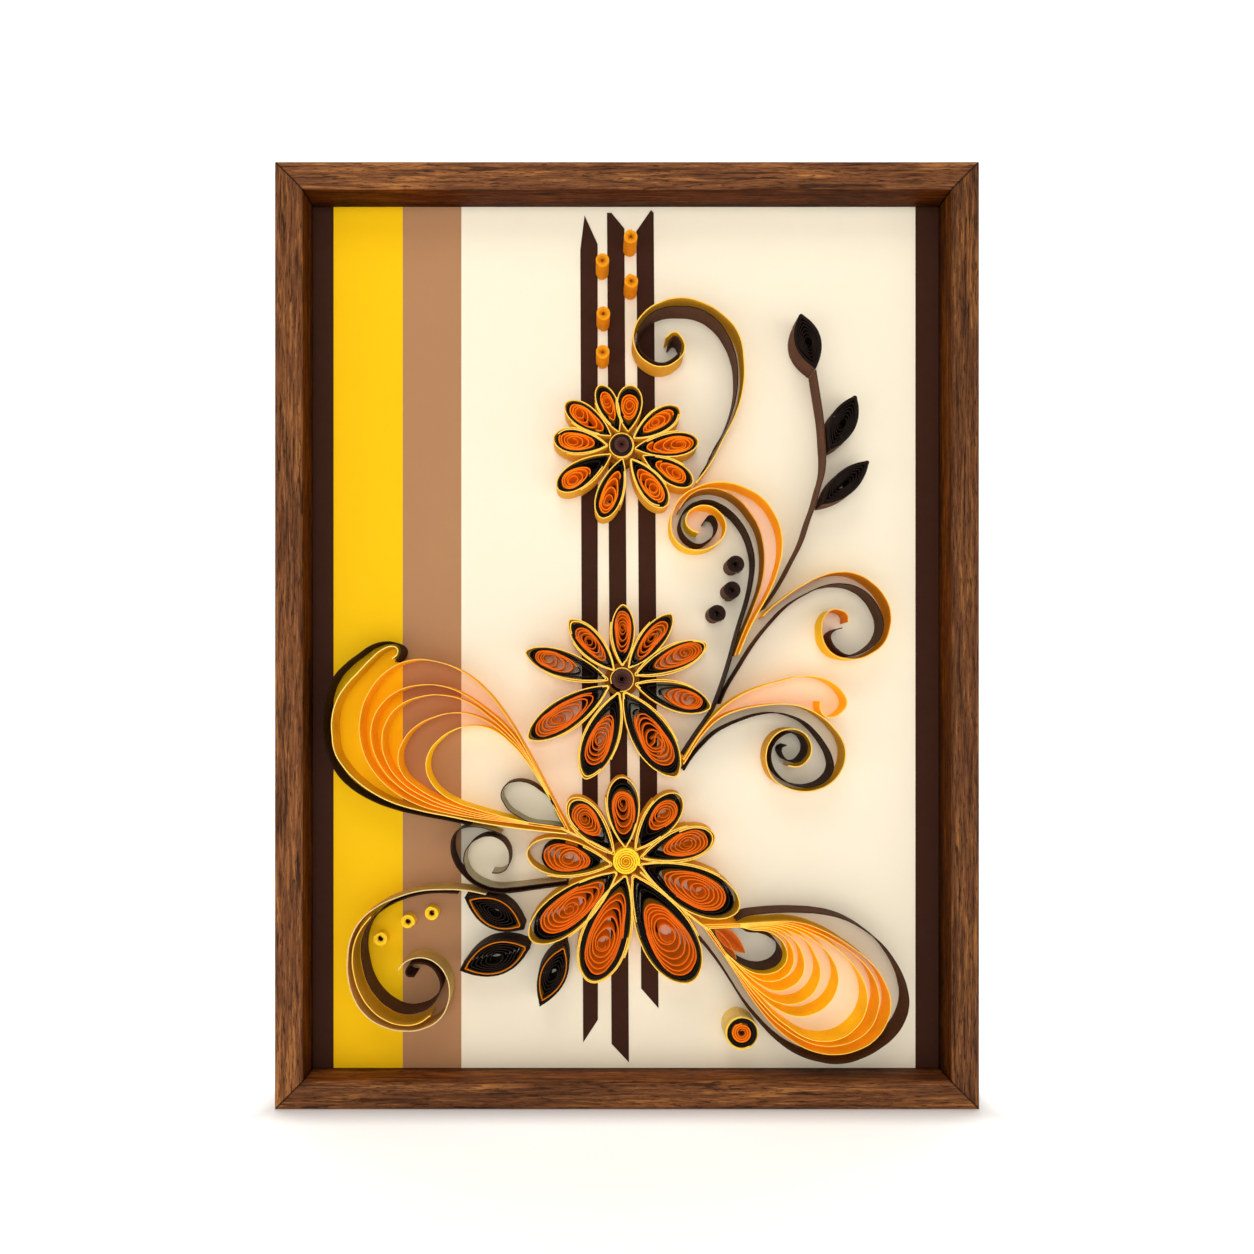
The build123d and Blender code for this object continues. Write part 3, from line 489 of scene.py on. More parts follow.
class PetalStrips:
    """The runs of one petal's strips: gold turns, dark turns inside them and the orange coil."""

    steps = 16
    first_step = -5
    turn_pitch = 0.4
    outline_inset = 0.3
    tip_pinch = 0.75
    coil_pinch = 0.36
    hug_at_tip = 0.7
    gold_packing = 0.8
    dark_gap = 0.1
    dark_reach = 0.93
    coil_easing = 1.3
    coil_looseness = 0.6
    eye_slimness = 1.3
    last_turn_shrink = 0.5
    last_turn_drift = 0.4

    def __init__(self, petal, end_pinch, gold_turns):
        self.petal = petal
        self.tip, self.end = placed([petal.tip, petal.end])
        self.end_pinch = end_pinch
        self.outline_width = petal.width - self.outline_inset
        self.way = direction(self.tip, self.end)
        coil_span = petal.coil_stop - petal.coil_start
        self.middle = between(self.tip, self.end, (petal.coil_start + petal.coil_stop) / 2)
        self.heart = between(self.tip, self.end, petal.coil_start + coil_span * petal.eye_place)
        self.half_length = dist(self.tip, self.end) * coil_span / 2
        self.half_width = petal.width * petal.coil_share / 2
        self.eye_width = petal.eye_share * self.half_width
        self.eye_length = min(self.eye_slimness * self.eye_width, petal.eye_share * self.half_length)
        room = self.outline_width / 2 - self.half_width
        gold_depth = self.turn_pitch * gold_turns
        self.gold_share = gold_depth / room * self.gold_packing
        self.gold_end = self.first_step + round(gold_turns * self.steps)
        dark_turns = max(2, round((room - gold_depth) / self.turn_pitch))
        self.dark_end = self.gold_end + self.steps * dark_turns

    def outer(self, step):
        """Point of the petal's outline."""
        angle = 2 * pi * step / self.steps
        return leaf_point(self.tip, self.end, self.outline_width, self.tip_pinch, self.end_pinch, angle)

    def coil(self, step, left):
        """Point of the coil, whose turns shrink from its outside, 1, to its eye, 0."""
        half_length = self.eye_length + (self.half_length - self.eye_length) * left
        half_width = self.eye_width + (self.half_width - self.eye_width) * left
        centre = between(self.heart, self.middle, left)
        angle = 2 * pi * step / self.steps
        return oval_point(centre, self.way, half_length, half_width, self.coil_pinch * left, angle)

    def winding(self, first, last, depths, loosening):
        """Turns from one depth to another, held close to the outline at the tip at first."""
        run = []
        for i in range(first, last + 1):
            done = (i - first) / (last - first)
            near_tip = max(0.0, cos(2 * pi * i / self.steps)) ** 2
            depth = depths[0] + (depths[1] - depths[0]) * done
            hug = 1 - self.hug_at_tip * near_tip * (1 - loosening * done)
            run.append(between(self.outer(i), self.coil(i, 1.0), depth * hug))
        return run

    def gold_run(self):
        return self.winding(self.first_step, self.gold_end, (0.0, self.gold_share), 0.0)

    def dark_run(self):
        start = self.gold_share + self.dark_gap + self.petal.slack
        return self.winding(self.gold_end - 2, self.dark_end, (start, self.dark_reach), 1.0)

    def coil_run(self, seed):
        """The coil's turns and one more, smaller and off centre, inside its eye."""
        count = round(self.petal.coil_turns * self.steps)
        start = self.dark_end
        run = [self.coil(start + i, 1.0 - (i / count) ** self.coil_easing) for i in range(count + 1)]
        last = self.steps + 4
        for i in range(1, last):
            rest = i / last
            eye = self.coil(start + count + i, 0.0)
            small = between(self.heart, eye, 1 - self.last_turn_shrink * rest)
            run.append(beside(small, self.way, self.last_turn_drift * self.eye_width * rest, 0.0))
        return [loosened(point, self.coil_looseness, seed) for point in run]


def daisy(flower, petals, coil_paper, end_pinch, seed, gold_turns, coil_thickness, plump=1.0):
    """All petals of a flower, as one piece for each of their three papers."""
    name = f"{flower}_flower"
    tip_reach = 0.86
    extra_turns = 0.55
    strips = []
    for i, petal in enumerate(petals):
        tip = between(FLOWERS[flower], petal.tip, tip_reach)
        turns = gold_turns + (extra_turns if i % 3 == 2 else 0)
        strips.append(PetalStrips(petal._replace(tip=tip, width=petal.width * plump), end_pinch, turns))
    gold_runs = [strip.gold_run() for strip in strips]
    dark_runs = [strip.dark_run() for strip in strips]
    coil_runs = [strip.coil_run(seed + i) for i, strip in enumerate(strips)]
    outer = stand_strips(f"{name}_gold_turns", gold_runs, STRIP, STRIPE_FACE)
    dressed(outer, gold, f"{name}_petals")
    inside = stand_strips(f"{name}_dark_turns", dark_runs, DARK_STRIP, STRIPE_FACE, height=9.9, smooth=2)
    dressed(inside, dark, f"{name}_petals")
    coils = stand_strips(f"{name}_orange_coils", coil_runs, coil_thickness, STRIPE_FACE, height=9.8)
    dressed(coils, coil_paper, f"{name}_petals")


# Petals: tip, outer end and width; where the orange coil starts and stops along the petal, its share
# of the width and its turns; how far along it its eye lies and the eye's share of its size
upper_petals = [
    Petal((-2.8, 70.2), (-9.5, 85.8), 6.9, 0.25, 0.86, 0.66, 2.0, 0.60, 0.62),
    Petal((0.8, 70.4), (1.2, 86.2), 8.4, 0.25, 0.79, 0.75, 2.2, 0.50, 0.50),
    Petal((3.0, 67.8), (18.2, 77.7), 8.0, 0.20, 0.84, 0.62, 2.8, 0.40, 0.46),
    Petal((3.4, 63.6), (25.1, 66.3), 8.2, 0.19, 0.89, 0.80, 2.8, 0.66, 0.50),
    Petal((6.6, 60.8), (23.0, 51.5), 7.8, 0.26, 0.85, 0.72, 2.8, 0.62, 0.46),
    Petal((1.9, 59.5), (13.7, 43.6), 8.5, 0.19, 0.85, 0.72, 3.0, 0.60, 0.46),
    Petal((-1.4, 59.6), (-8.8, 39.8), 8.5, 0.21, 0.90, 0.68, 2.6, 0.66, 0.50),
    Petal((-5.9, 61.4), (-24.0, 49.9), 8.6, 0.40, 0.90, 0.72, 2.6, 0.60, 0.50),
    Petal((-7.2, 64.8), (-25.6, 67.5), 8.6, 0.22, 0.88, 0.78, 2.6, 0.56, 0.54),
    Petal((-6.0, 68.8), (-21.4, 79.6), 7.8, 0.17, 0.87, 0.75, 2.2, 0.66, 0.62),
]
middle_petals = [
    Petal((-1.5, -9.5), (-1.3, 11.3), 8.9, 0.19, 0.88, 0.76, 4.2, 0.60, 0.34),
    Petal((1.0, -10.3), (15.8, 8), 9.0, 0.16, 0.84, 0.72, 3.6, 0.55, 0.40),
    Petal((3.3, -13.2), (27.7, -2.7), 10.1, 0.28, 0.92, 0.78, 4.4, 0.66, 0.36),
    Petal((3.5, -16.6), (29.1, -24.5), 10.6, 0.37, 0.87, 0.70, 2.8, 0.66, 0.60),
    Petal((-0.9, -19.8), (17.4, -48.5), 14.3, 0.24, 0.85, 0.74, 3.8, 0.52, 0.54),
    Petal((-2.9, -20), (-14.6, -49.4), 12.9, 0.25, 0.84, 0.70, 4.6, 0.48, 0.38),
    Petal((-6.8, -17.5), (-34.3, -35.5), 11.9, 0.15, 0.88, 0.78, 4.8, 0.62, 0.32),
    Petal((-7.0, -15.1), (-35.3, -5.2), 10.0, 0.37, 0.85, 0.70, 2.8, 0.66, 0.60),
    Petal((-4.8, -11.2), (-20.1, 6), 9.4, 0.19, 0.82, 0.70, 4.0, 0.56, 0.42),
]
lower_petals = [
    Petal((-0.5, -71.4), (-2.0, -47), 12.0, 0.14, 0.76, 0.77, 3.6, 0.70, 0.36),
    Petal((3.3, -72.6), (18.3, -53.6), 11.6, 0.35, 0.84, 0.74, 3.0, 0.56, 0.48),
    Petal((5.3, -75.6), (30.5, -67.8), 12.2, 0.31, 0.90, 0.80, 4.4, 0.50, 0.34),
    Petal((5.2, -78.2), (39.2, -93.6), 16.4, 0.22, 0.83, 0.80, 4.8, 0.58, 0.38),
    Petal((2.4, -82.2), (22.6, -118.2), 19.6, 0.26, 0.92, 0.82, 5.2, 0.42, 0.42),
    Petal((-0.4, -82.6), (-12.5, -118.4), 17.4, 0.15, 0.93, 0.76, 4.8, 0.60, 0.34),
    Petal((-3.9, -81.2), (-33.6, -104.4), 15.0, 0.13, 0.84, 0.80, 5.0, 0.56, 0.28),
    Petal((-5.6, -78.2), (-35.8, -73.7), 13.8, 0.25, 0.76, 0.82, 3.6, 0.40, 0.46, slack=0.4),
    Petal((-4.8, -74.2), (-20.0, -55.2), 11.4, 0.36, 0.86, 0.79, 4.2, 0.52, 0.34),
]
daisy("upper", upper_petals, orange, 0.12, seed=1.0, gold_turns=1.2, coil_thickness=0.42, plump=1.13)
daisy("middle", middle_petals, red_orange, 0.4, seed=21.0, gold_turns=1.4, coil_thickness=0.4)
daisy("lower", lower_petals, red_orange, 0.12, seed=41.0, gold_turns=1.5, coil_thickness=0.44)
open_curl = [(11.6, -40.5), (12.0, -35.0), (11.2, -33.2), (9.8, -34.1), (9.4, -36.4), (8.0, -37.7)]
curl = stand_strips("middle_flower_open_curl", [placed(open_curl)], 0.4, STRIPE_FACE, height=9.6, smooth=6)
dressed(curl, red_orange, "middle_flower_petals")


# Cards, stripes and board, whose CAD shapes are right and keep their meshes
for name, material in {
    "base_card": dark_card,
    "yellow_band": yellow_card,
    "tan_band": tan_card,
    "cream_panel": cream_card,
    "stripe_left": dark_card,
    "stripe_middle": dark_card,
    "stripe_right": dark_card,
    "backing_board": board_fibre,
}.items():
    nodes[name].data.materials.clear()
    nodes[name].data.materials.append(material)


# Frame and hardware, softened at their edges
def softened(name, made, finish, width, segments):
    """A copy of a CAD node with its triangles joined into flat faces and its edges rounded."""
    piece = nodes[name].copy()
    piece.data = nodes[name].data.copy()
    piece.name = made
    bpy.context.scene.collection.objects.link(piece)
    for key in list(piece.keys()):
        del piece[key]
    piece.parent = None
    only(piece)
    bpy.ops.object.mode_set(mode="EDIT")
    bpy.ops.mesh.select_all(action="SELECT")
    bpy.ops.mesh.remove_doubles(threshold=0.01 * MM)
    bpy.ops.mesh.dissolve_limited(angle_limit=radians(1.0))
    bpy.ops.object.mode_set(mode="OBJECT")
    edge = piece.modifiers.new("edge", "BEVEL")
    edge.width = width * MM
    edge.segments = segments
    edge.limit_method = "ANGLE"
    edge.angle_limit = radians(30)
    edge.harden_normals = False
    bpy.ops.object.modifier_apply(modifier="edge")
    bpy.ops.object.shade_smooth_by_angle(angle=radians(50))
    dressed(piece, finish, name)


# Each rail: its grain's axis and seed, the painted light and shade on the walls of its opening, and its
# painted side shade
for side, along, seed, inner_shade, side_shade in [
    ("top", "X", 3.1, (0.42, 0.24, 0.03, 1.0), 1.06),
    ("bottom", "X", 7.7, (1.2, 1.0, 0.66, 1.0), 1.0),
    ("left", "Z", 1.9, (0.6, 0.42, 0.08, 1.0), 1.04),
    ("right", "Z", 5.3, (0.8, 0.56, 0.16, 1.0), 0.74),
]:
    wood = Finish(stained_wood(f"stained_wood_{side}", along, seed, inner_shade, side_shade), "frame_wood")
    softened(f"frame_rail_{side}", f"moulding_{side}", wood, width=0.3, segments=2)
softened("sawtooth_hanger", "hanger_plate", steel, width=0.15, segments=2)
softened("hanger_rivets", "rivets", steel, width=0.2, segments=2)
softened("framer_points", "glazing_points", steel, width=0.08, segments=1)
softened("corner_v_nails", "v_nails", steel, width=0.08, segments=1)


# Tight rolls
def roll_run(centre, radius, pitch, hole):
    """A strip wound from the outside in, a paper and a hair of air each turn."""
    steps = 12
    x, z = placed([centre])[0]
    count = ceil((radius - hole) / pitch * steps)
    run = []
    for i in range(count + 1):
        reach = radius - pitch / 2 - (radius - hole) * i / count
        angle = 2 * pi * i / steps + x
        run.append((x + reach * cos(angle), z + reach * sin(angle)))
    return run


def rolls(name, node, centres, radius, paper, seat=CARD_FACE, height=STRIP_WIDTH,
          pitch=0.36, fill=0.86, hole=0.75):
    runs = [roll_run(centre, radius, pitch, hole) for centre in centres]
    piece = stand_strips(name, runs, pitch * fill, seat, height, uneven=0.16)
    dressed(piece, paper, node)


orange_beads = [(-8.4, 128.1), (-8.1, 109.9), (-8.3, 96.8), (1.4, 136), (1.6, 120.9)]
brown_beads = [(37.0, 24.4), (35.8, 15.7), (30.7, 7.6)]
yellow_beads = [(-75.9, -99), (-67.5, -96.1), (-85.3, -104.9)]
bead_hole = 1.15
rolls("orange_bead_rolls", "orange_beads", orange_beads, 2.5, bead_orange, STRIPE_FACE)
rolls("brown_bead_rolls", "brown_beads", brown_beads, 3.15, brown_roll, hole=1.1, pitch=0.5)
rolls("yellow_bead_hearts", "yellow_beads", yellow_beads, bead_hole, brown, height=3.0)
rolls("yellow_bead_rolls", "yellow_beads", yellow_beads, 2.5, yellow,
      height=LOW_ROLL_HEIGHT, hole=bead_hole)


def flower_roll(flower, part, radius, paper, **wound):
    name = f"{flower}_flower"
    centres = [FLOWERS[flower]]
    rolls(f"{name}_{part}", f"{name}_centre", centres, radius, paper, STRIPE_FACE, **wound)


flower_roll("upper", "roll", 2.7, centre_brown, height=11.4, hole=0.5)
flower_roll("upper", "step", 3.9, brown_roll, height=10.1, hole=2.7)
flower_roll("upper", "ring", 4.5, gold, hole=4.0)
flower_roll("middle", "roll", 3.8, centre_brown, height=10.4, pitch=0.55, hole=0.9)
flower_roll("middle", "ring", 4.3, gold, hole=4.0)
flower_roll("lower", "roll", 4.9, yellow, height=10.6, pitch=0.8, fill=0.92, hole=0.7)
base_turns_width = 1.7
for flower, radius in {"upper": 4.5, "middle": 4.3, "lower": 4.9}.items():
    flower_roll(flower, "base_turns", radius + base_turns_width, shaded_base_gold, height=6.0, hole=radius)


def target_roll(part, radius, paper, **wound):
    rolls(f"target_{part}", "target_roll", [TARGET], radius, paper, **wound)


target_roll("heart", 1.3, centre_brown, height=9.4, hole=0.6)
target_roll("gold", 5.85, pale_gold, hole=5.3)
target_roll("dark", 5.25, dark, hole=3.8)
target_roll("orange", 3.75, orange, hole=1.3, pitch=0.8, fill=0.9)


# Leaves
def leaf(name, tip, end, width, ring_share, paper, ring_paper):
    """A pinched coil: two outer turns, a ring that can be of another paper and five dark turns."""
    steps = 14
    outer_turns, inner_turns = 2, 5
    outline_inset = 0.3
    tip_pinch, end_pinch = 1.0, 0.9
    eye_length, eye_width = 0.15 * width, 0.12 * width
    outer_gap, ring_drop, inner_gap = 0.06, 0.04, 0.08
    looseness = 0.5
    tip, end = placed([tip, end])
    centre, way = between(tip, end, 0.5), direction(tip, end)

    def turn(step, left):
        angle = 2 * pi * step / steps
        shape = leaf_point(tip, end, width - outline_inset, tip_pinch, end_pinch, angle)
        eye = oval_point(centre, way, eye_length, eye_width, 0.0, angle)
        return between(eye, shape, left)

    count = outer_turns * steps
    outer = [turn(i, 1.0 - (1.0 - ring_share - outer_gap) * i / count) for i in range(count + 1)]
    ring = [turn(i, ring_share - ring_drop * i / steps) for i in range(steps + 1)]
    count = inner_turns * steps
    inner = [turn(i, (ring_share - inner_gap) * (1 - i / count)) for i in range(count + 1)]
    inner = [loosened(point, looseness, tip[0]) for point in inner]
    dressed(stand_strips(f"{name}_outer_turns", [outer], LEAF_STRIP), paper, name)
    turns = stand_strips(f"{name}_inner_turns", [inner], THIN_STRIP, height=9.9)
    dressed(turns, leaf_dark, name)
    dressed(stand_strips(f"{name}_ring", [ring], THIN_STRIP), ring_paper, name)


spray_leaves = {
    "spray_leaf_upper": ((-55.2, -89.2), (-34.8, -99.9), 10.8, 0.82),
    "spray_leaf_lower": ((-57.0, -114.0), (-32.8, -105.8), 12.0, 0.84),
    "spray_leaf_down": ((-29.8, -126.3), (-20.8, -104.7), 9.8, 0.8),
}
stem_leaves = {
    "stem_leaf_top": ((64.2, 91), (59.2, 109.8), 9.2, 0.84),
    "stem_leaf_middle": ((69.2, 63.4), (78.1, 81.9), 9.2, 0.84),
    "stem_leaf_lower": ((66.4, 44.8), (82.5, 59.6), 8.2, 0.84),
}
for name, sizes in spray_leaves.items():
    leaf(name, *sizes, leaf_brown, ring_orange)
for name, sizes in stem_leaves.items():
    leaf(name, *sizes, leaf_light, leaf_dark)


# Scrolls: open strips along points from the centre of the opening
def scroll(name, paper, points, lining=None, lining_side=1.0, seat=CARD_FACE):
    """An open strip, with a thin ply of a second paper where its two faces differ."""
    run = placed(points)
    thickness, side = STRIP, 0.0
    if lining:
        ply = stand_strips(f"{name}_lining", [run], LINING, seat, LINING_HEIGHT,
                           smooth=6, side=lining_side)
        dressed(ply, lining, name)
        thickness, side = LINED_STRIP, -lining_side
    strip = stand_strips(f"{name}_strip", [run], thickness, seat, smooth=6, side=side)
    dressed(strip, paper, name)


scroll("crest_scroll_orange", bright_orange, [
    (38.2, -6.3), (42.5, 3.7), (49, 15.7), (51.5, 22.2), (53, 29.7), (52.5, 36.2), (50, 42.2),
    (46, 47.2), (41, 50.2), (35, 52.2), (29, 52.2), (24, 50.7), (19, 47.7), (16, 43.2), (15, 38.2),
    (16, 33.7), (19.5, 30.2), (24, 29.2), (27.5, 29.7), (31, 31.7), (33.5, 35.2), (33.5, 39.2),
    (31, 42.7), (27.5, 44.4), (23.5, 43.9), (20.8, 41.7), (20.2, 38.7), (22, 36.2), (24.5, 35.2),
], lining=amber, lining_side=-1.0)
scroll("crest_scroll_gold", shaded_amber, [
    (36.8, -6.8), (39, -0.8), (43.5, 10.2), (46, 17.7), (47, 25.7), (46.5, 31.7), (45, 37.2),
    (42, 42.2), (38, 46.7), (32.5, 49.7), (27, 50.2), (22.5, 48.7), (19.8, 46.2), (17.8, 43.2),
])
scroll("crest_scroll_brown", deep_brown, [
    (19.2, -40.7), (21.7, -36.8), (24.7, -32.4), (27.4, -28.6), (29.7, -25), (31, -21.8),
    (32.5, -17.8), (34.8, -10.8), (39, 4.2), (41.5, 12.2), (43, 19.2), (43.5, 25.7), (42.5, 31.2),
    (41, 35.2), (38.5, 39.2), (35.5, 42.4), (32, 44.8), (28, 46.2), (24, 45.7), (20.5, 43.7),
    (18.5, 40.2), (18.5, 36.2), (21, 32.7), (24.5, 31.2), (28, 32.7), (30.5, 35.7), (30.5, 39.2),
    (28.5, 41), (26.5, 39.2),
])
scroll("side_scroll_orange", burnt_orange, [
    (46.5, 6.7), (49.5, 9.7), (54, 13.2), (60, 17.2), (66, 20.2), (72, 21.7), (78, 21.2), (83.5, 18.2),
    (88, 13.2), (90, 7.7), (89.5, 1.7), (87.5, -2.8), (83.5, -6), (79, -7.8), (75, -7.8), (70.5, -6.3),
    (67.5, -2.8), (66.5, 1.7), (67, 5.7), (69.5, 8.7), (73, 8.7), (75.2, 7.2), (75.5, 4.7),
], lining=amber)
scroll("side_scroll_brown", brown, [
    (31.8, -23.3), (34, -18.3), (38.5, -10.8), (43.5, -2.8), (49.5, 4.7), (55.5, 10.7), (62, 14.7),
    (68, 17.2), (74, 17.7), (79, 16.4), (83, 13.5), (86, 9.2), (87.5, 4.2), (86.5, -0.3), (83.5, -3.8),
    (79.5, -6), (75.5, -6.6), (72, -4.8), (70, -2.3), (69.5, 0.2), (71.2, 2), (73.5, 2.7),
])
scroll("small_scroll_orange", light_orange, [
    (19.3, -42.3), (25.2, -32.9), (31, -26.2), (37, -21.5), (44, -18.1), (52.5, -15.5), (60, -13.8),
    (66, -14.3), (70.5, -16.3), (74, -19.8), (75, -23.3), (73, -26.3), (70, -27.8), (67.5, -27.3),
    (66, -24.8), (66, -22.3),
])
scroll("round_scroll_gold", gold, [
    (19.3, -43.8), (26.5, -33), (32, -28), (38.5, -25.3), (46, -23.8), (53.5, -23.3), (60, -24.3),
    (66, -27.3), (70.5, -31.3), (74, -36.8), (74.5, -41.8), (73, -46.3), (69.5, -50.3), (65, -52.5),
    (60, -53.1), (54.5, -51.8), (50, -48.8), (48, -44.8), (47.5, -40.3), (49, -35.8), (52, -32.8),
    (55.5, -31.8), (59.5, -32.6), (62, -35), (63, -38.8), (61.5, -42.6), (58.5, -44.6), (55, -44.3),
])
scroll("round_scroll_brown", deep_brown, [
    (19.4, -46), (22.2, -41.6), (25.3, -37.9), (30.2, -33.2), (34.5, -30.7), (39.2, -28.7),
    (45.5, -26.8), (51, -26.3), (56, -27.3), (60.5, -29.3), (64, -32.3), (67.5, -36.8), (70, -41.8),
    (70.3, -45.8), (68, -49.3), (64, -51.3), (60, -51.6), (55.5, -50.3), (51.5, -47.3), (49.5, -43.8),
    (49.2, -39.8), (50.5, -36.5), (53, -34.1), (56, -33), (59, -33.8), (61, -36), (61.5, -38.8),
    (60.3, -41.5), (58, -43.1), (55.2, -42.6), (53.2, -40.8), (52.8, -38.3), (54.5, -37.3),
])
scroll("left_fan_dark", deep_brown, [
    (-79, -8.8), (-77, -6.3), (-77, -4.1), (-79, -2.5), (-82.5, -2.1), (-87, -3.3), (-91.5, -6.3),
    (-96, -9.8), (-100, -14.3), (-102.5, -20.3), (-103.7, -27.3), (-103.5, -34.8), (-101.7, -41.3),
    (-98.5, -47.3), (-94, -51.8), (-87.5, -55.8), (-80, -58.8), (-70.5, -61.1), (-61.5, -62.8),
    (-53.5, -64.5),
])
scroll("left_fan_gold", fan_gold, [
    (-80, -7.8), (-78.3, -6.2), (-78.2, -4.5), (-80, -3.6), (-83.4, -4.7), (-87.5, -8.1),
    (-91.5, -12.3), (-96, -17.3), (-99, -22.3), (-100.5, -27.8), (-100.5, -33.8), (-99.5, -39.8),
    (-96.5, -44.8), (-92, -49.5), (-86.5, -53.5), (-80, -56.8), (-70.5, -59.6), (-60.5, -61.6),
    (-50, -63.7), (-40, -65.3), (-29.5, -66.6), (-20.5, -67.5),
])
scroll("tendril_outer", brown, [
    (-20, -84.9), (-31.5, -86.5), (-38, -87.4), (-43.5, -87.7), (-48, -86.8), (-52, -84.8),
    (-56, -81.3), (-59, -76.8), (-60, -72.3), (-59.3, -68.5), (-57.2, -66.1), (-54, -65.2),
    (-50, -65.3), (-45.5, -66.5), (-43, -67.5),
], lining=shaded_card_lining)
scroll("tendril_inner", brown, [
    (-46, -80.8), (-43.5, -80.8), (-41, -79.3), (-40, -75.3), (-41, -71.8), (-43.5, -69.3),
    (-47, -68.3), (-51, -69.3), (-54, -71.8), (-55.5, -75.3), (-55, -79.3), (-53, -82.3), (-49, -84.8),
    (-44.5, -86), (-39, -85.8), (-32, -85), (-20.5, -83.5),
], lining=shaded_card_lining)
scroll("ground_scroll_gold", tan_gold, [
    (-48, -88.2), (-55, -86.8), (-63.5, -86.5), (-71, -87.1), (-78, -89.1), (-85, -92.3),
    (-90.5, -96.8), (-94, -102.8), (-95.2, -109.8), (-95, -116.8), (-93, -123.8), (-89, -129.5),
    (-83, -133.3), (-75.5, -134.8), (-69, -133.8), (-63.5, -130.3), (-61, -125.3), (-60.5, -120.3),
    (-61.7, -115.8), (-64.5, -112.1), (-68.5, -110), (-72.5, -110), (-76, -111.6), (-78, -114.1),
])
scroll("ground_scroll_inner", gold, [
    (-87.3, -95.8), (-90.5, -99.8), (-92.7, -104.3), (-93.6, -109.8), (-93, -115.8), (-91, -121.8),
    (-87.5, -127.1), (-82.5, -131), (-76.5, -132.8), (-71, -132.1), (-67, -129.5),
])
scroll("ground_scroll_brown", brown, [
    (-57.5, -87.8), (-64.5, -87.6), (-71, -88.3), (-77.5, -90.3), (-83, -93.3), (-87.3, -97.3),
    (-89.7, -101.8), (-90.6, -106.8), (-90, -112.3), (-88.5, -117.8), (-85.5, -122.8), (-81, -126.8),
    (-76, -128.8), (-71, -128.3), (-67, -126.3), (-64.5, -122.8), (-63.5, -119.3), (-64.5, -115.8),
    (-66.7, -113), (-70, -111.8), (-73.2, -112.1), (-75.2, -113.8), (-75, -115.8), (-72.5, -116.3),
])
scroll("right_fan_dark", brown, [
    (37.2, -97.2), (40.5, -95.6), (45.5, -94.8), (52.5, -94.3), (59, -94.3), (66, -94.8), (73, -96.3),
    (78.5, -98.8), (83, -101.8), (87.3, -105.5), (91, -110.3), (93.8, -115.3), (95.5, -120.3),
    (96.1, -125.8), (94.7, -131.3), (91.5, -136.3), (86.5, -140.5), (80.5, -143.8), (73, -145.8),
    (65, -145), (57.5, -142.3), (51.3, -138), (45.5, -132.1), (40.2, -125.5), (35.7, -118.4),
    (31.2, -111.6), (26.7, -105.8), (24, -102.8),
])
scroll("stem", stem_brown, [
    (64.4, 90.7), (66, 80.7), (67, 73.7), (67.5, 66.7), (67.8, 61.2), (67.4, 55.7), (66, 50.7),
    (64.5, 45.2), (62.5, 39.7), (60, 32.2), (56.5, 25.2), (52.8, 18.2), (49.3, 12.7), (46.8, 9.2),
])
scroll("hook_scroll_gold", gold, [
    (23.6, 52.1), (28.5, 58.7), (33, 67.2), (37, 75.2), (39.5, 83.7), (40, 93.2), (38, 103.2),
    (32.5, 109.7), (25.5, 113.7), (18.5, 115.2), (11.5, 113.7), (6, 110.2), (2.5, 104.2), (3, 97.7),
    (7, 93.2), (12, 91.7), (17, 93.7), (19.7, 97.5), (18.8, 101.5), (16.3, 103.6), (13.3, 101.7),
], seat=STRIPE_FACE)
scroll("hook_scroll_brown", brown, [
    (14.3, 100.2), (16.5, 102), (18, 100.4), (18.4, 97.8), (16, 94.7), (12, 92.9), (7.7, 94.4),
    (4.3, 98.2), (3.9, 103.7), (6.7, 108.4), (11.5, 111.4), (18, 112.2), (25, 111.2), (30.3, 107.9),
    (34, 103.2), (36.8, 96.7), (37.8, 90.2), (37.5, 83.2), (35.8, 76.2), (32.9, 69.2), (29.3, 62.9),
    (28.3, 60.3), (25.1, 54.9),
], seat=STRIPE_FACE)


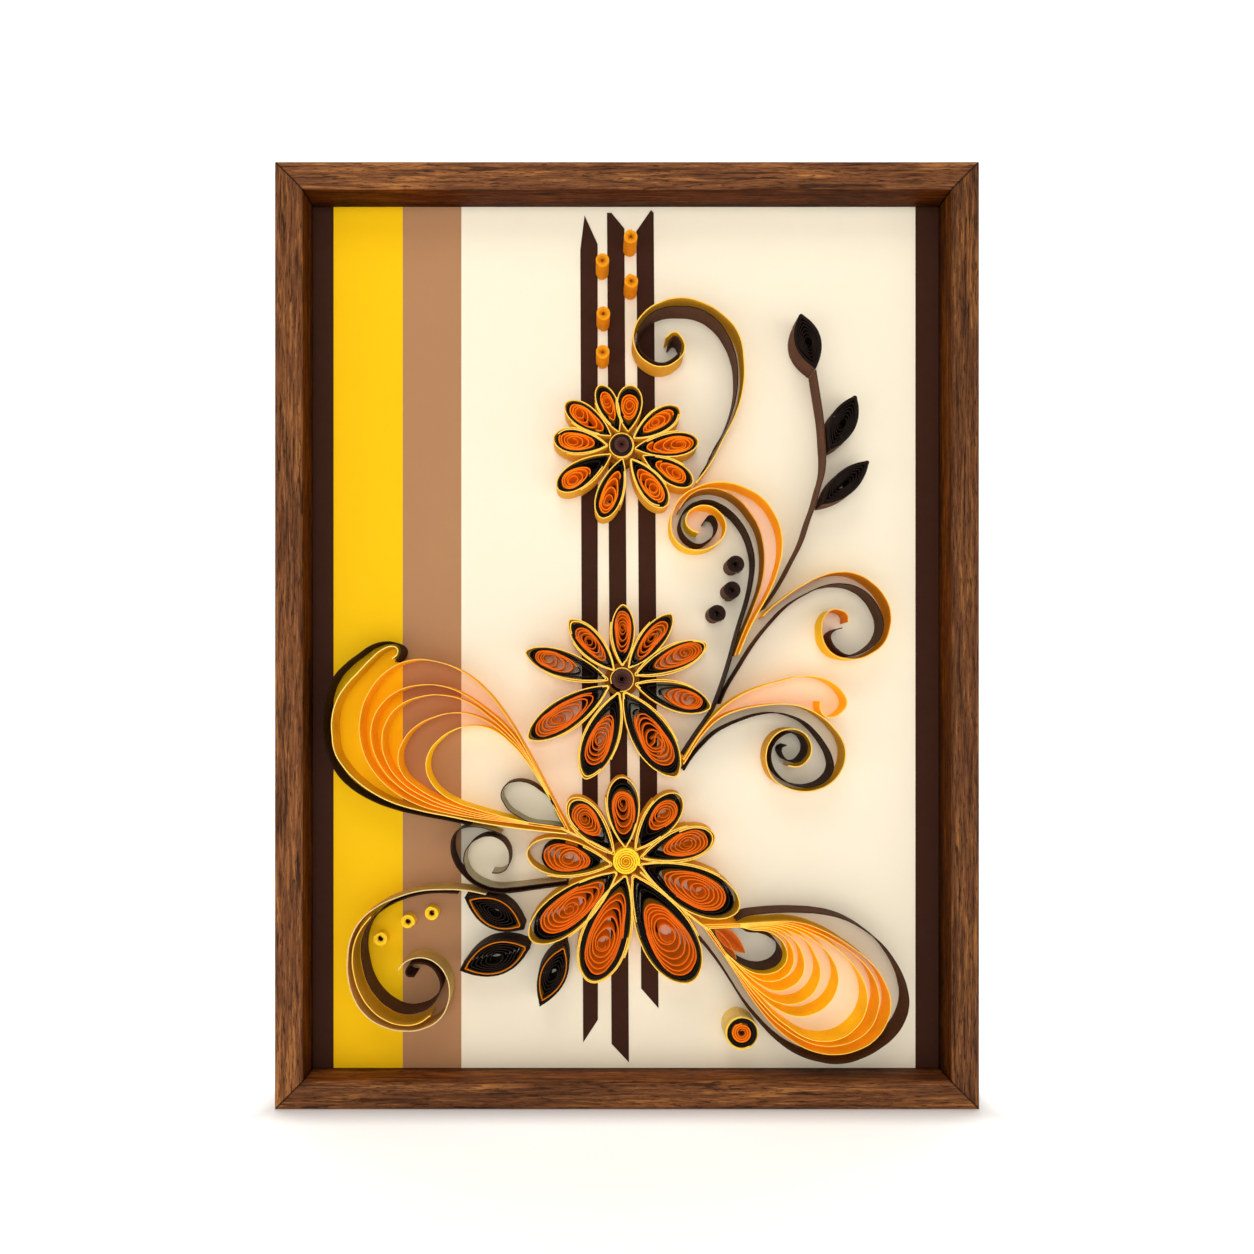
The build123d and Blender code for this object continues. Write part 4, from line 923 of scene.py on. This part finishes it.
# Fans: loops that run back to a corner, each a paper and a hair inside the last
left_loops = [
    [
        (-34.1, -39.3), (-42, -26.3), (-48.5, -18.3), (-56, -12.3), (-65, -8.8), (-73.5, -8.3),
        (-81.5, -11.8), (-88, -19.3), (-91, -28.3), (-90.5, -37.3), (-87, -45.3), (-80.5, -52.3),
        (-71.5, -57.5), (-61.5, -60.4),
    ],
    [
        (-34.9, -39.3), (-41.5, -30.8), (-47.5, -25.6), (-55.5, -20.1), (-62.5, -17.3), (-70.5, -16.8),
        (-78, -18.8), (-84, -23.8), (-87, -30.3), (-87, -36.8), (-84, -44.3), (-79, -50.3),
        (-70.5, -55.9), (-60.5, -59.5),
    ],
    [
        (-35.5, -39.1), (-41, -33), (-46.5, -28.1), (-54, -22.8), (-62.5, -20.3), (-70.5, -20.8),
        (-77.5, -23.8), (-82, -29.3), (-83.5, -35.8), (-82, -42.8), (-77.5, -49.3), (-69.5, -54.7),
        (-59.5, -58.8),
    ],
    [
        (-36, -39.3), (-40.5, -34.8), (-45.5, -30.6), (-52, -27.3), (-58.5, -26.3), (-66, -27.8),
        (-72.5, -31.3), (-76.5, -36.3), (-78, -41.8), (-76.5, -47.1), (-71.5, -51.8), (-65, -55.6),
        (-57.5, -58.5),
    ],
    [
        (-36.5, -39.9), (-39.2, -37.1), (-43.5, -33.4), (-48, -31.3), (-53.5, -30.8), (-59.5, -32.3),
        (-64.5, -35.8), (-67.5, -39.8), (-68.5, -44.8), (-67, -49.5), (-63.5, -53.6), (-58.5, -56.6),
        (-53, -58.6),
    ],
    [
        (-29.1, -53), (-32.2, -50.8), (-35.1, -49.8), (-38, -49.7), (-40.8, -50.6), (-42.5, -52.7),
        (-42.8, -55), (-42, -56.8), (-40, -59.6), (-37.1, -61.5),
    ],
]
right_loops = [
    [
        (48, -97.6), (57.5, -97.6), (67.5, -100.8), (76, -105.8), (83.5, -111.8), (88, -118.3),
        (90, -125.8), (88.5, -132.3), (84.5, -137.8), (78.5, -141.3), (71.5, -142.8), (64, -141.8),
        (57.5, -138.8), (51.5, -134.3), (46, -128.3),
    ],
    [
        (47, -97.8), (55.5, -98), (63.5, -100.6), (71.5, -104.5), (78.5, -109.5), (83.5, -115.3),
        (86, -122.3), (85.5, -128.3), (83, -133.8), (78, -137.8), (72, -139.8), (66, -139.8),
        (60, -137.8), (53.5, -133.8), (47.6, -128.5),
    ],
    [
        (46, -98), (54.5, -98.5), (62, -101.1), (69.5, -105.1), (75.5, -110.3), (80, -116.3),
        (82, -122.8), (81, -129.3), (78, -133.8), (73, -137.3), (66.5, -138.3), (61, -137), (55, -133.3),
        (49, -128.3),
    ],
    [
        (45.5, -98.4), (51.5, -98.6), (58, -100.5), (64.5, -104.3), (69.5, -109.3), (72, -115.3),
        (71.5, -120.8), (68.5, -125.8), (64, -128.8), (58.5, -129.8), (52.5, -128), (46.5, -123.6),
    ],
    [
        (45, -98.8), (50.5, -99.1), (55.5, -100.8), (61, -103.8), (64, -108.3), (66, -114.3),
        (65, -119.3), (62, -123.3), (57.5, -125.5), (52.5, -125.3), (47, -122.6),
    ],
    [
        (44.5, -99.3), (50, -99.8), (54.5, -101.6), (58, -104.8), (60, -108.8), (60.5, -113.3),
        (59, -117.3), (55.5, -120), (51.5, -121.1), (46.5, -119.6),
    ],
    [
        (43.5, -99.8), (49, -100.2), (53.5, -102.5), (56, -105.8), (57, -109.8), (56, -113.8),
        (53.5, -116.5), (49.5, -117.8), (45, -117.1),
    ],
    [
        (43, -100.3), (48, -100.8), (52, -103.1), (54.2, -106.3), (54.7, -109.8), (53, -113.1),
        (50, -114.9), (46.5, -115.4), (42, -114.4),
    ],
    [
        (41, -100.8), (45.5, -101.3), (49.3, -103.1), (52, -105.8), (52.9, -108.8), (51.5, -111.8),
        (48.5, -113.5), (45, -113.9), (41, -112.8),
    ],
]


def nested_runs(corner, loops, pitch, leads, upper_way, lower_way):
    """Loops that run straight to the corner at both ends, each a pitch further in than the last."""
    way = Vector((upper_way[0] + lower_way[0], upper_way[1] + lower_way[1])).normalized()
    along = way.x * upper_way[0] + way.y * upper_way[1]
    apart = (1 - along * along) ** 0.5
    runs = []
    for lane, points in enumerate(loops):
        inset = lane * pitch / apart
        base = (corner[0] + way.x * inset, corner[1] + way.y * inset)
        starts = [lead - inset * along for lead in leads]
        upper = [(base[0] + upper_way[0] * start, base[1] + upper_way[1] * start) for start in starts]
        lower = [(base[0] + lower_way[0] * start, base[1] + lower_way[1] * start) for start in starts]
        runs.append(placed([base, *upper, *points, *lower[::-1]]))
    return runs


def fan(name, node, runs, paper, thickness=FAN_STRIP, side=0.0):
    """Closed loops that meet at the corner."""
    piece = stand_strips(name, runs, thickness, smooth=6, closed=True, pointed=True, side=side)
    dressed(piece, paper, node)


def tucked(name, node, runs, paper):
    """Loops whose ends are tucked between their neighbours short of the corner."""
    piece = stand_strips(name, [run[2:-1] for run in runs], FAN_STRIP, smooth=6)
    dressed(piece, paper, node)


left_tail = [(-22.5, -65.6), (-17.0, -68.2), (-11.5, -70.6), (-6.5, -73.2)]
right_tail = [(28.0, -100.4), (22.5, -96.2), (16.0, -90.6), (10.0, -85.4), (4.6, -80.6)]
tails = stand_strips("fan_tails", [placed(left_tail), placed(right_tail)], FAN_TAIL)
dressed(tails, gold, "left_fan_loops")
left_runs = nested_runs((-19.7, -66.4), left_loops, 0.2, leads=(6, 14),
                        upper_way=(-0.468, 0.884), lower_way=(-0.99, 0.14))
fan("left_fan_outer_loop", "left_fan_loops", left_runs[:1], fan_orange)
tucked("left_fan_orange_loops", "left_fan_loops", left_runs[1:4], fan_orange)
fan("left_fan_amber_loop", "left_fan_loops", left_runs[4:5], amber)
fan("teardrop_strip", "teardrop_loop", left_runs[5:], brown, LINED_STRIP, -1.0)
fan("teardrop_lining", "teardrop_loop", left_runs[5:], shaded_card_lining, LINING, 1.0)
right_runs = nested_runs((25.7, -98.6), right_loops, 0.18, leads=(8, 13),
                         upper_way=(0.999, 0.035), lower_way=(0.581, -0.814))
fan("right_fan_outer_loop", "right_fan_loops", right_runs[:1], fan_orange)
tucked("right_fan_orange_loop", "right_fan_loops", right_runs[1:2], fan_orange)
fan("right_fan_inner_loops", "right_fan_loops", [right_runs[4], right_runs[7]], amber)
tucked("right_fan_amber_loops", "right_fan_loops", right_runs[2:4] + right_runs[5:7], amber)
fan("right_fan_dark_loop", "right_fan_inner_loop", right_runs[8:], brown)


def folded_leaf(name, base, point, width):
    """A leaf of paper creased along its middle, with its edges towards the front."""
    crease_depth, edge_height = 5.0, 9.0
    end_width = 0.04
    bpy.ops.object.select_all(action="DESELECT")
    bpy.ops.mesh.primitive_grid_add(x_subdivisions=10, y_subdivisions=4, size=1.0, calc_uvs=True)
    sheet = bpy.context.object
    sheet.name = name
    base, point = placed([base, point])
    way = direction(base, point)
    for vertex in sheet.data.vertices:
        along, across = vertex.co.x + 0.5, 2 * vertex.co.y
        swell = width / 2 * sin(pi * along ** 0.8) ** 0.8 if 0 < along < 1 else end_width / 2
        x, z = between(base, point, along)
        crease = crease_depth * (1 - abs(across)) * sin(pi * min(max(along, 0.03), 0.97))
        y = CARD_FACE - edge_height + crease
        vertex.co = ((x - way[1] * swell * across) * MM, y * MM, (z + way[0] * swell * across) * MM)
    fold = sheet.modifiers.new("paper", "SOLIDIFY")
    fold.thickness = 0.2 * MM
    bpy.ops.object.modifier_apply(modifier="paper")
    bpy.ops.object.shade_smooth_by_angle(angle=radians(25))
    dressed(sheet, bud_orange, "right_fan_bud")


folded_leaf("bud_leaf_lower", (28.4, -100.0), (37.4, -110.4), 3.6)
folded_leaf("bud_leaf_upper", (30.4, -99.6), (40.4, -108.4), 5.2)


# Camera, light and floor
CAMERA_PLACE = (-0.01187, -0.328, 0.14125)
LENS = 26.95
LENS_SHIFT = (0.0279, 0.0526)
PICTURE_CENTRE = (0.0, 0.0, 0.16)
LAMP_COLOUR = (1.0, 0.975, 0.93)
SKY_COLOUR = (1.0, 0.87, 0.68, 1.0)
SKY_STRENGTH = 0.3
# Reach and glow of the floor's painted shadow round the frame's foot
PAINTED_SHADOW_REACH = 0.012
PAINTED_SHADOW_GLOW = (0.2, 0.2, 0.22, 1.0)
FLOOR_GLOW = (0.94, 0.98, 1.0, 1.0)
BACKDROP_GLOW = (1.0, 1.0, 1.0, 1.0)


def look():
    """The photograph's camera, straight before the picture."""
    data = bpy.data.cameras.new("camera")
    data.lens = LENS
    data.sensor_width = 36.0
    data.shift_x, data.shift_y = LENS_SHIFT
    data.clip_start = 0.01
    camera = bpy.data.objects.new("camera", data)
    camera.location = CAMERA_PLACE
    camera.rotation_euler = (pi / 2, 0.0, 0.0)
    bpy.context.scene.collection.objects.link(camera)
    bpy.context.scene.camera = camera


def soft_light(name, place, size, power):
    data = bpy.data.lights.new(name, "AREA")
    data.shape = "RECTANGLE"
    data.size, data.size_y = size
    data.energy = power
    data.color = LAMP_COLOUR
    light = bpy.data.objects.new(name, data)
    light.location = place
    aim = Vector(PICTURE_CENTRE) - Vector(place)
    light.rotation_euler = aim.to_track_quat("-Z", "Y").to_euler()
    bpy.context.scene.collection.objects.link(light)


def painted_sheet(name, place, turn, glow):
    """A white plane that glows as well, until it is as white as the photograph's paper."""
    bpy.ops.object.select_all(action="DESELECT")
    bpy.ops.mesh.primitive_plane_add(size=8.0, location=place, rotation=(turn, 0, 0))
    sheet = bpy.context.object
    sheet.name = name
    s = Surface(f"{name}_paint")
    cloud = s.noise(s.place, 8.0, detail=2.0)
    s.bump(cloud, 0.02, 0.0005)
    sheet.data.materials.append(s.finish(rgb(250, 250, 250), 0.9, 0.2))
    s.shader.inputs["Emission Strength"].default_value = glow
    return sheet, s


def studio():
    """A white floor with a painted soft shadow round the frame's foot, where its glow is dimmed, a white
    backdrop and a warm sky.
    """
    sheet, s = painted_sheet("floor", (0, 0, 0), turn=0, glow=0.58)
    x = s.maths("ABSOLUTE", s.coordinate(0)) - FRAME_WIDTH / 2 * MM
    y = s.maths("ABSOLUTE", s.coordinate(1)) + FRONT * MM
    away = s.spread(s.maths("MAXIMUM", x, y), 0.0, PAINTED_SHADOW_REACH)
    s.feed(s.shader.inputs["Emission Color"], s.mix(away, PAINTED_SHADOW_GLOW, FLOOR_GLOW))
    sheet, s = painted_sheet("backdrop", (0, 1.2, 0), turn=pi / 2, glow=1.0)
    s.shader.inputs["Emission Color"].default_value = BACKDROP_GLOW
    world = bpy.data.worlds.new("studio")
    world.use_nodes = True
    world.node_tree.nodes["Background"].inputs["Color"].default_value = SKY_COLOUR
    world.node_tree.nodes["Background"].inputs["Strength"].default_value = SKY_STRENGTH
    bpy.context.scene.world = world


bpy.context.scene.view_settings.view_transform = "Standard"
look()
studio()
soft_light("overhead", (-0.3, -1.4, 2.0), size=(1.2, 1.0), power=11.0)
soft_light("front", (-0.08, -2.6, 0.5), size=(0.8, 0.8), power=16.6)
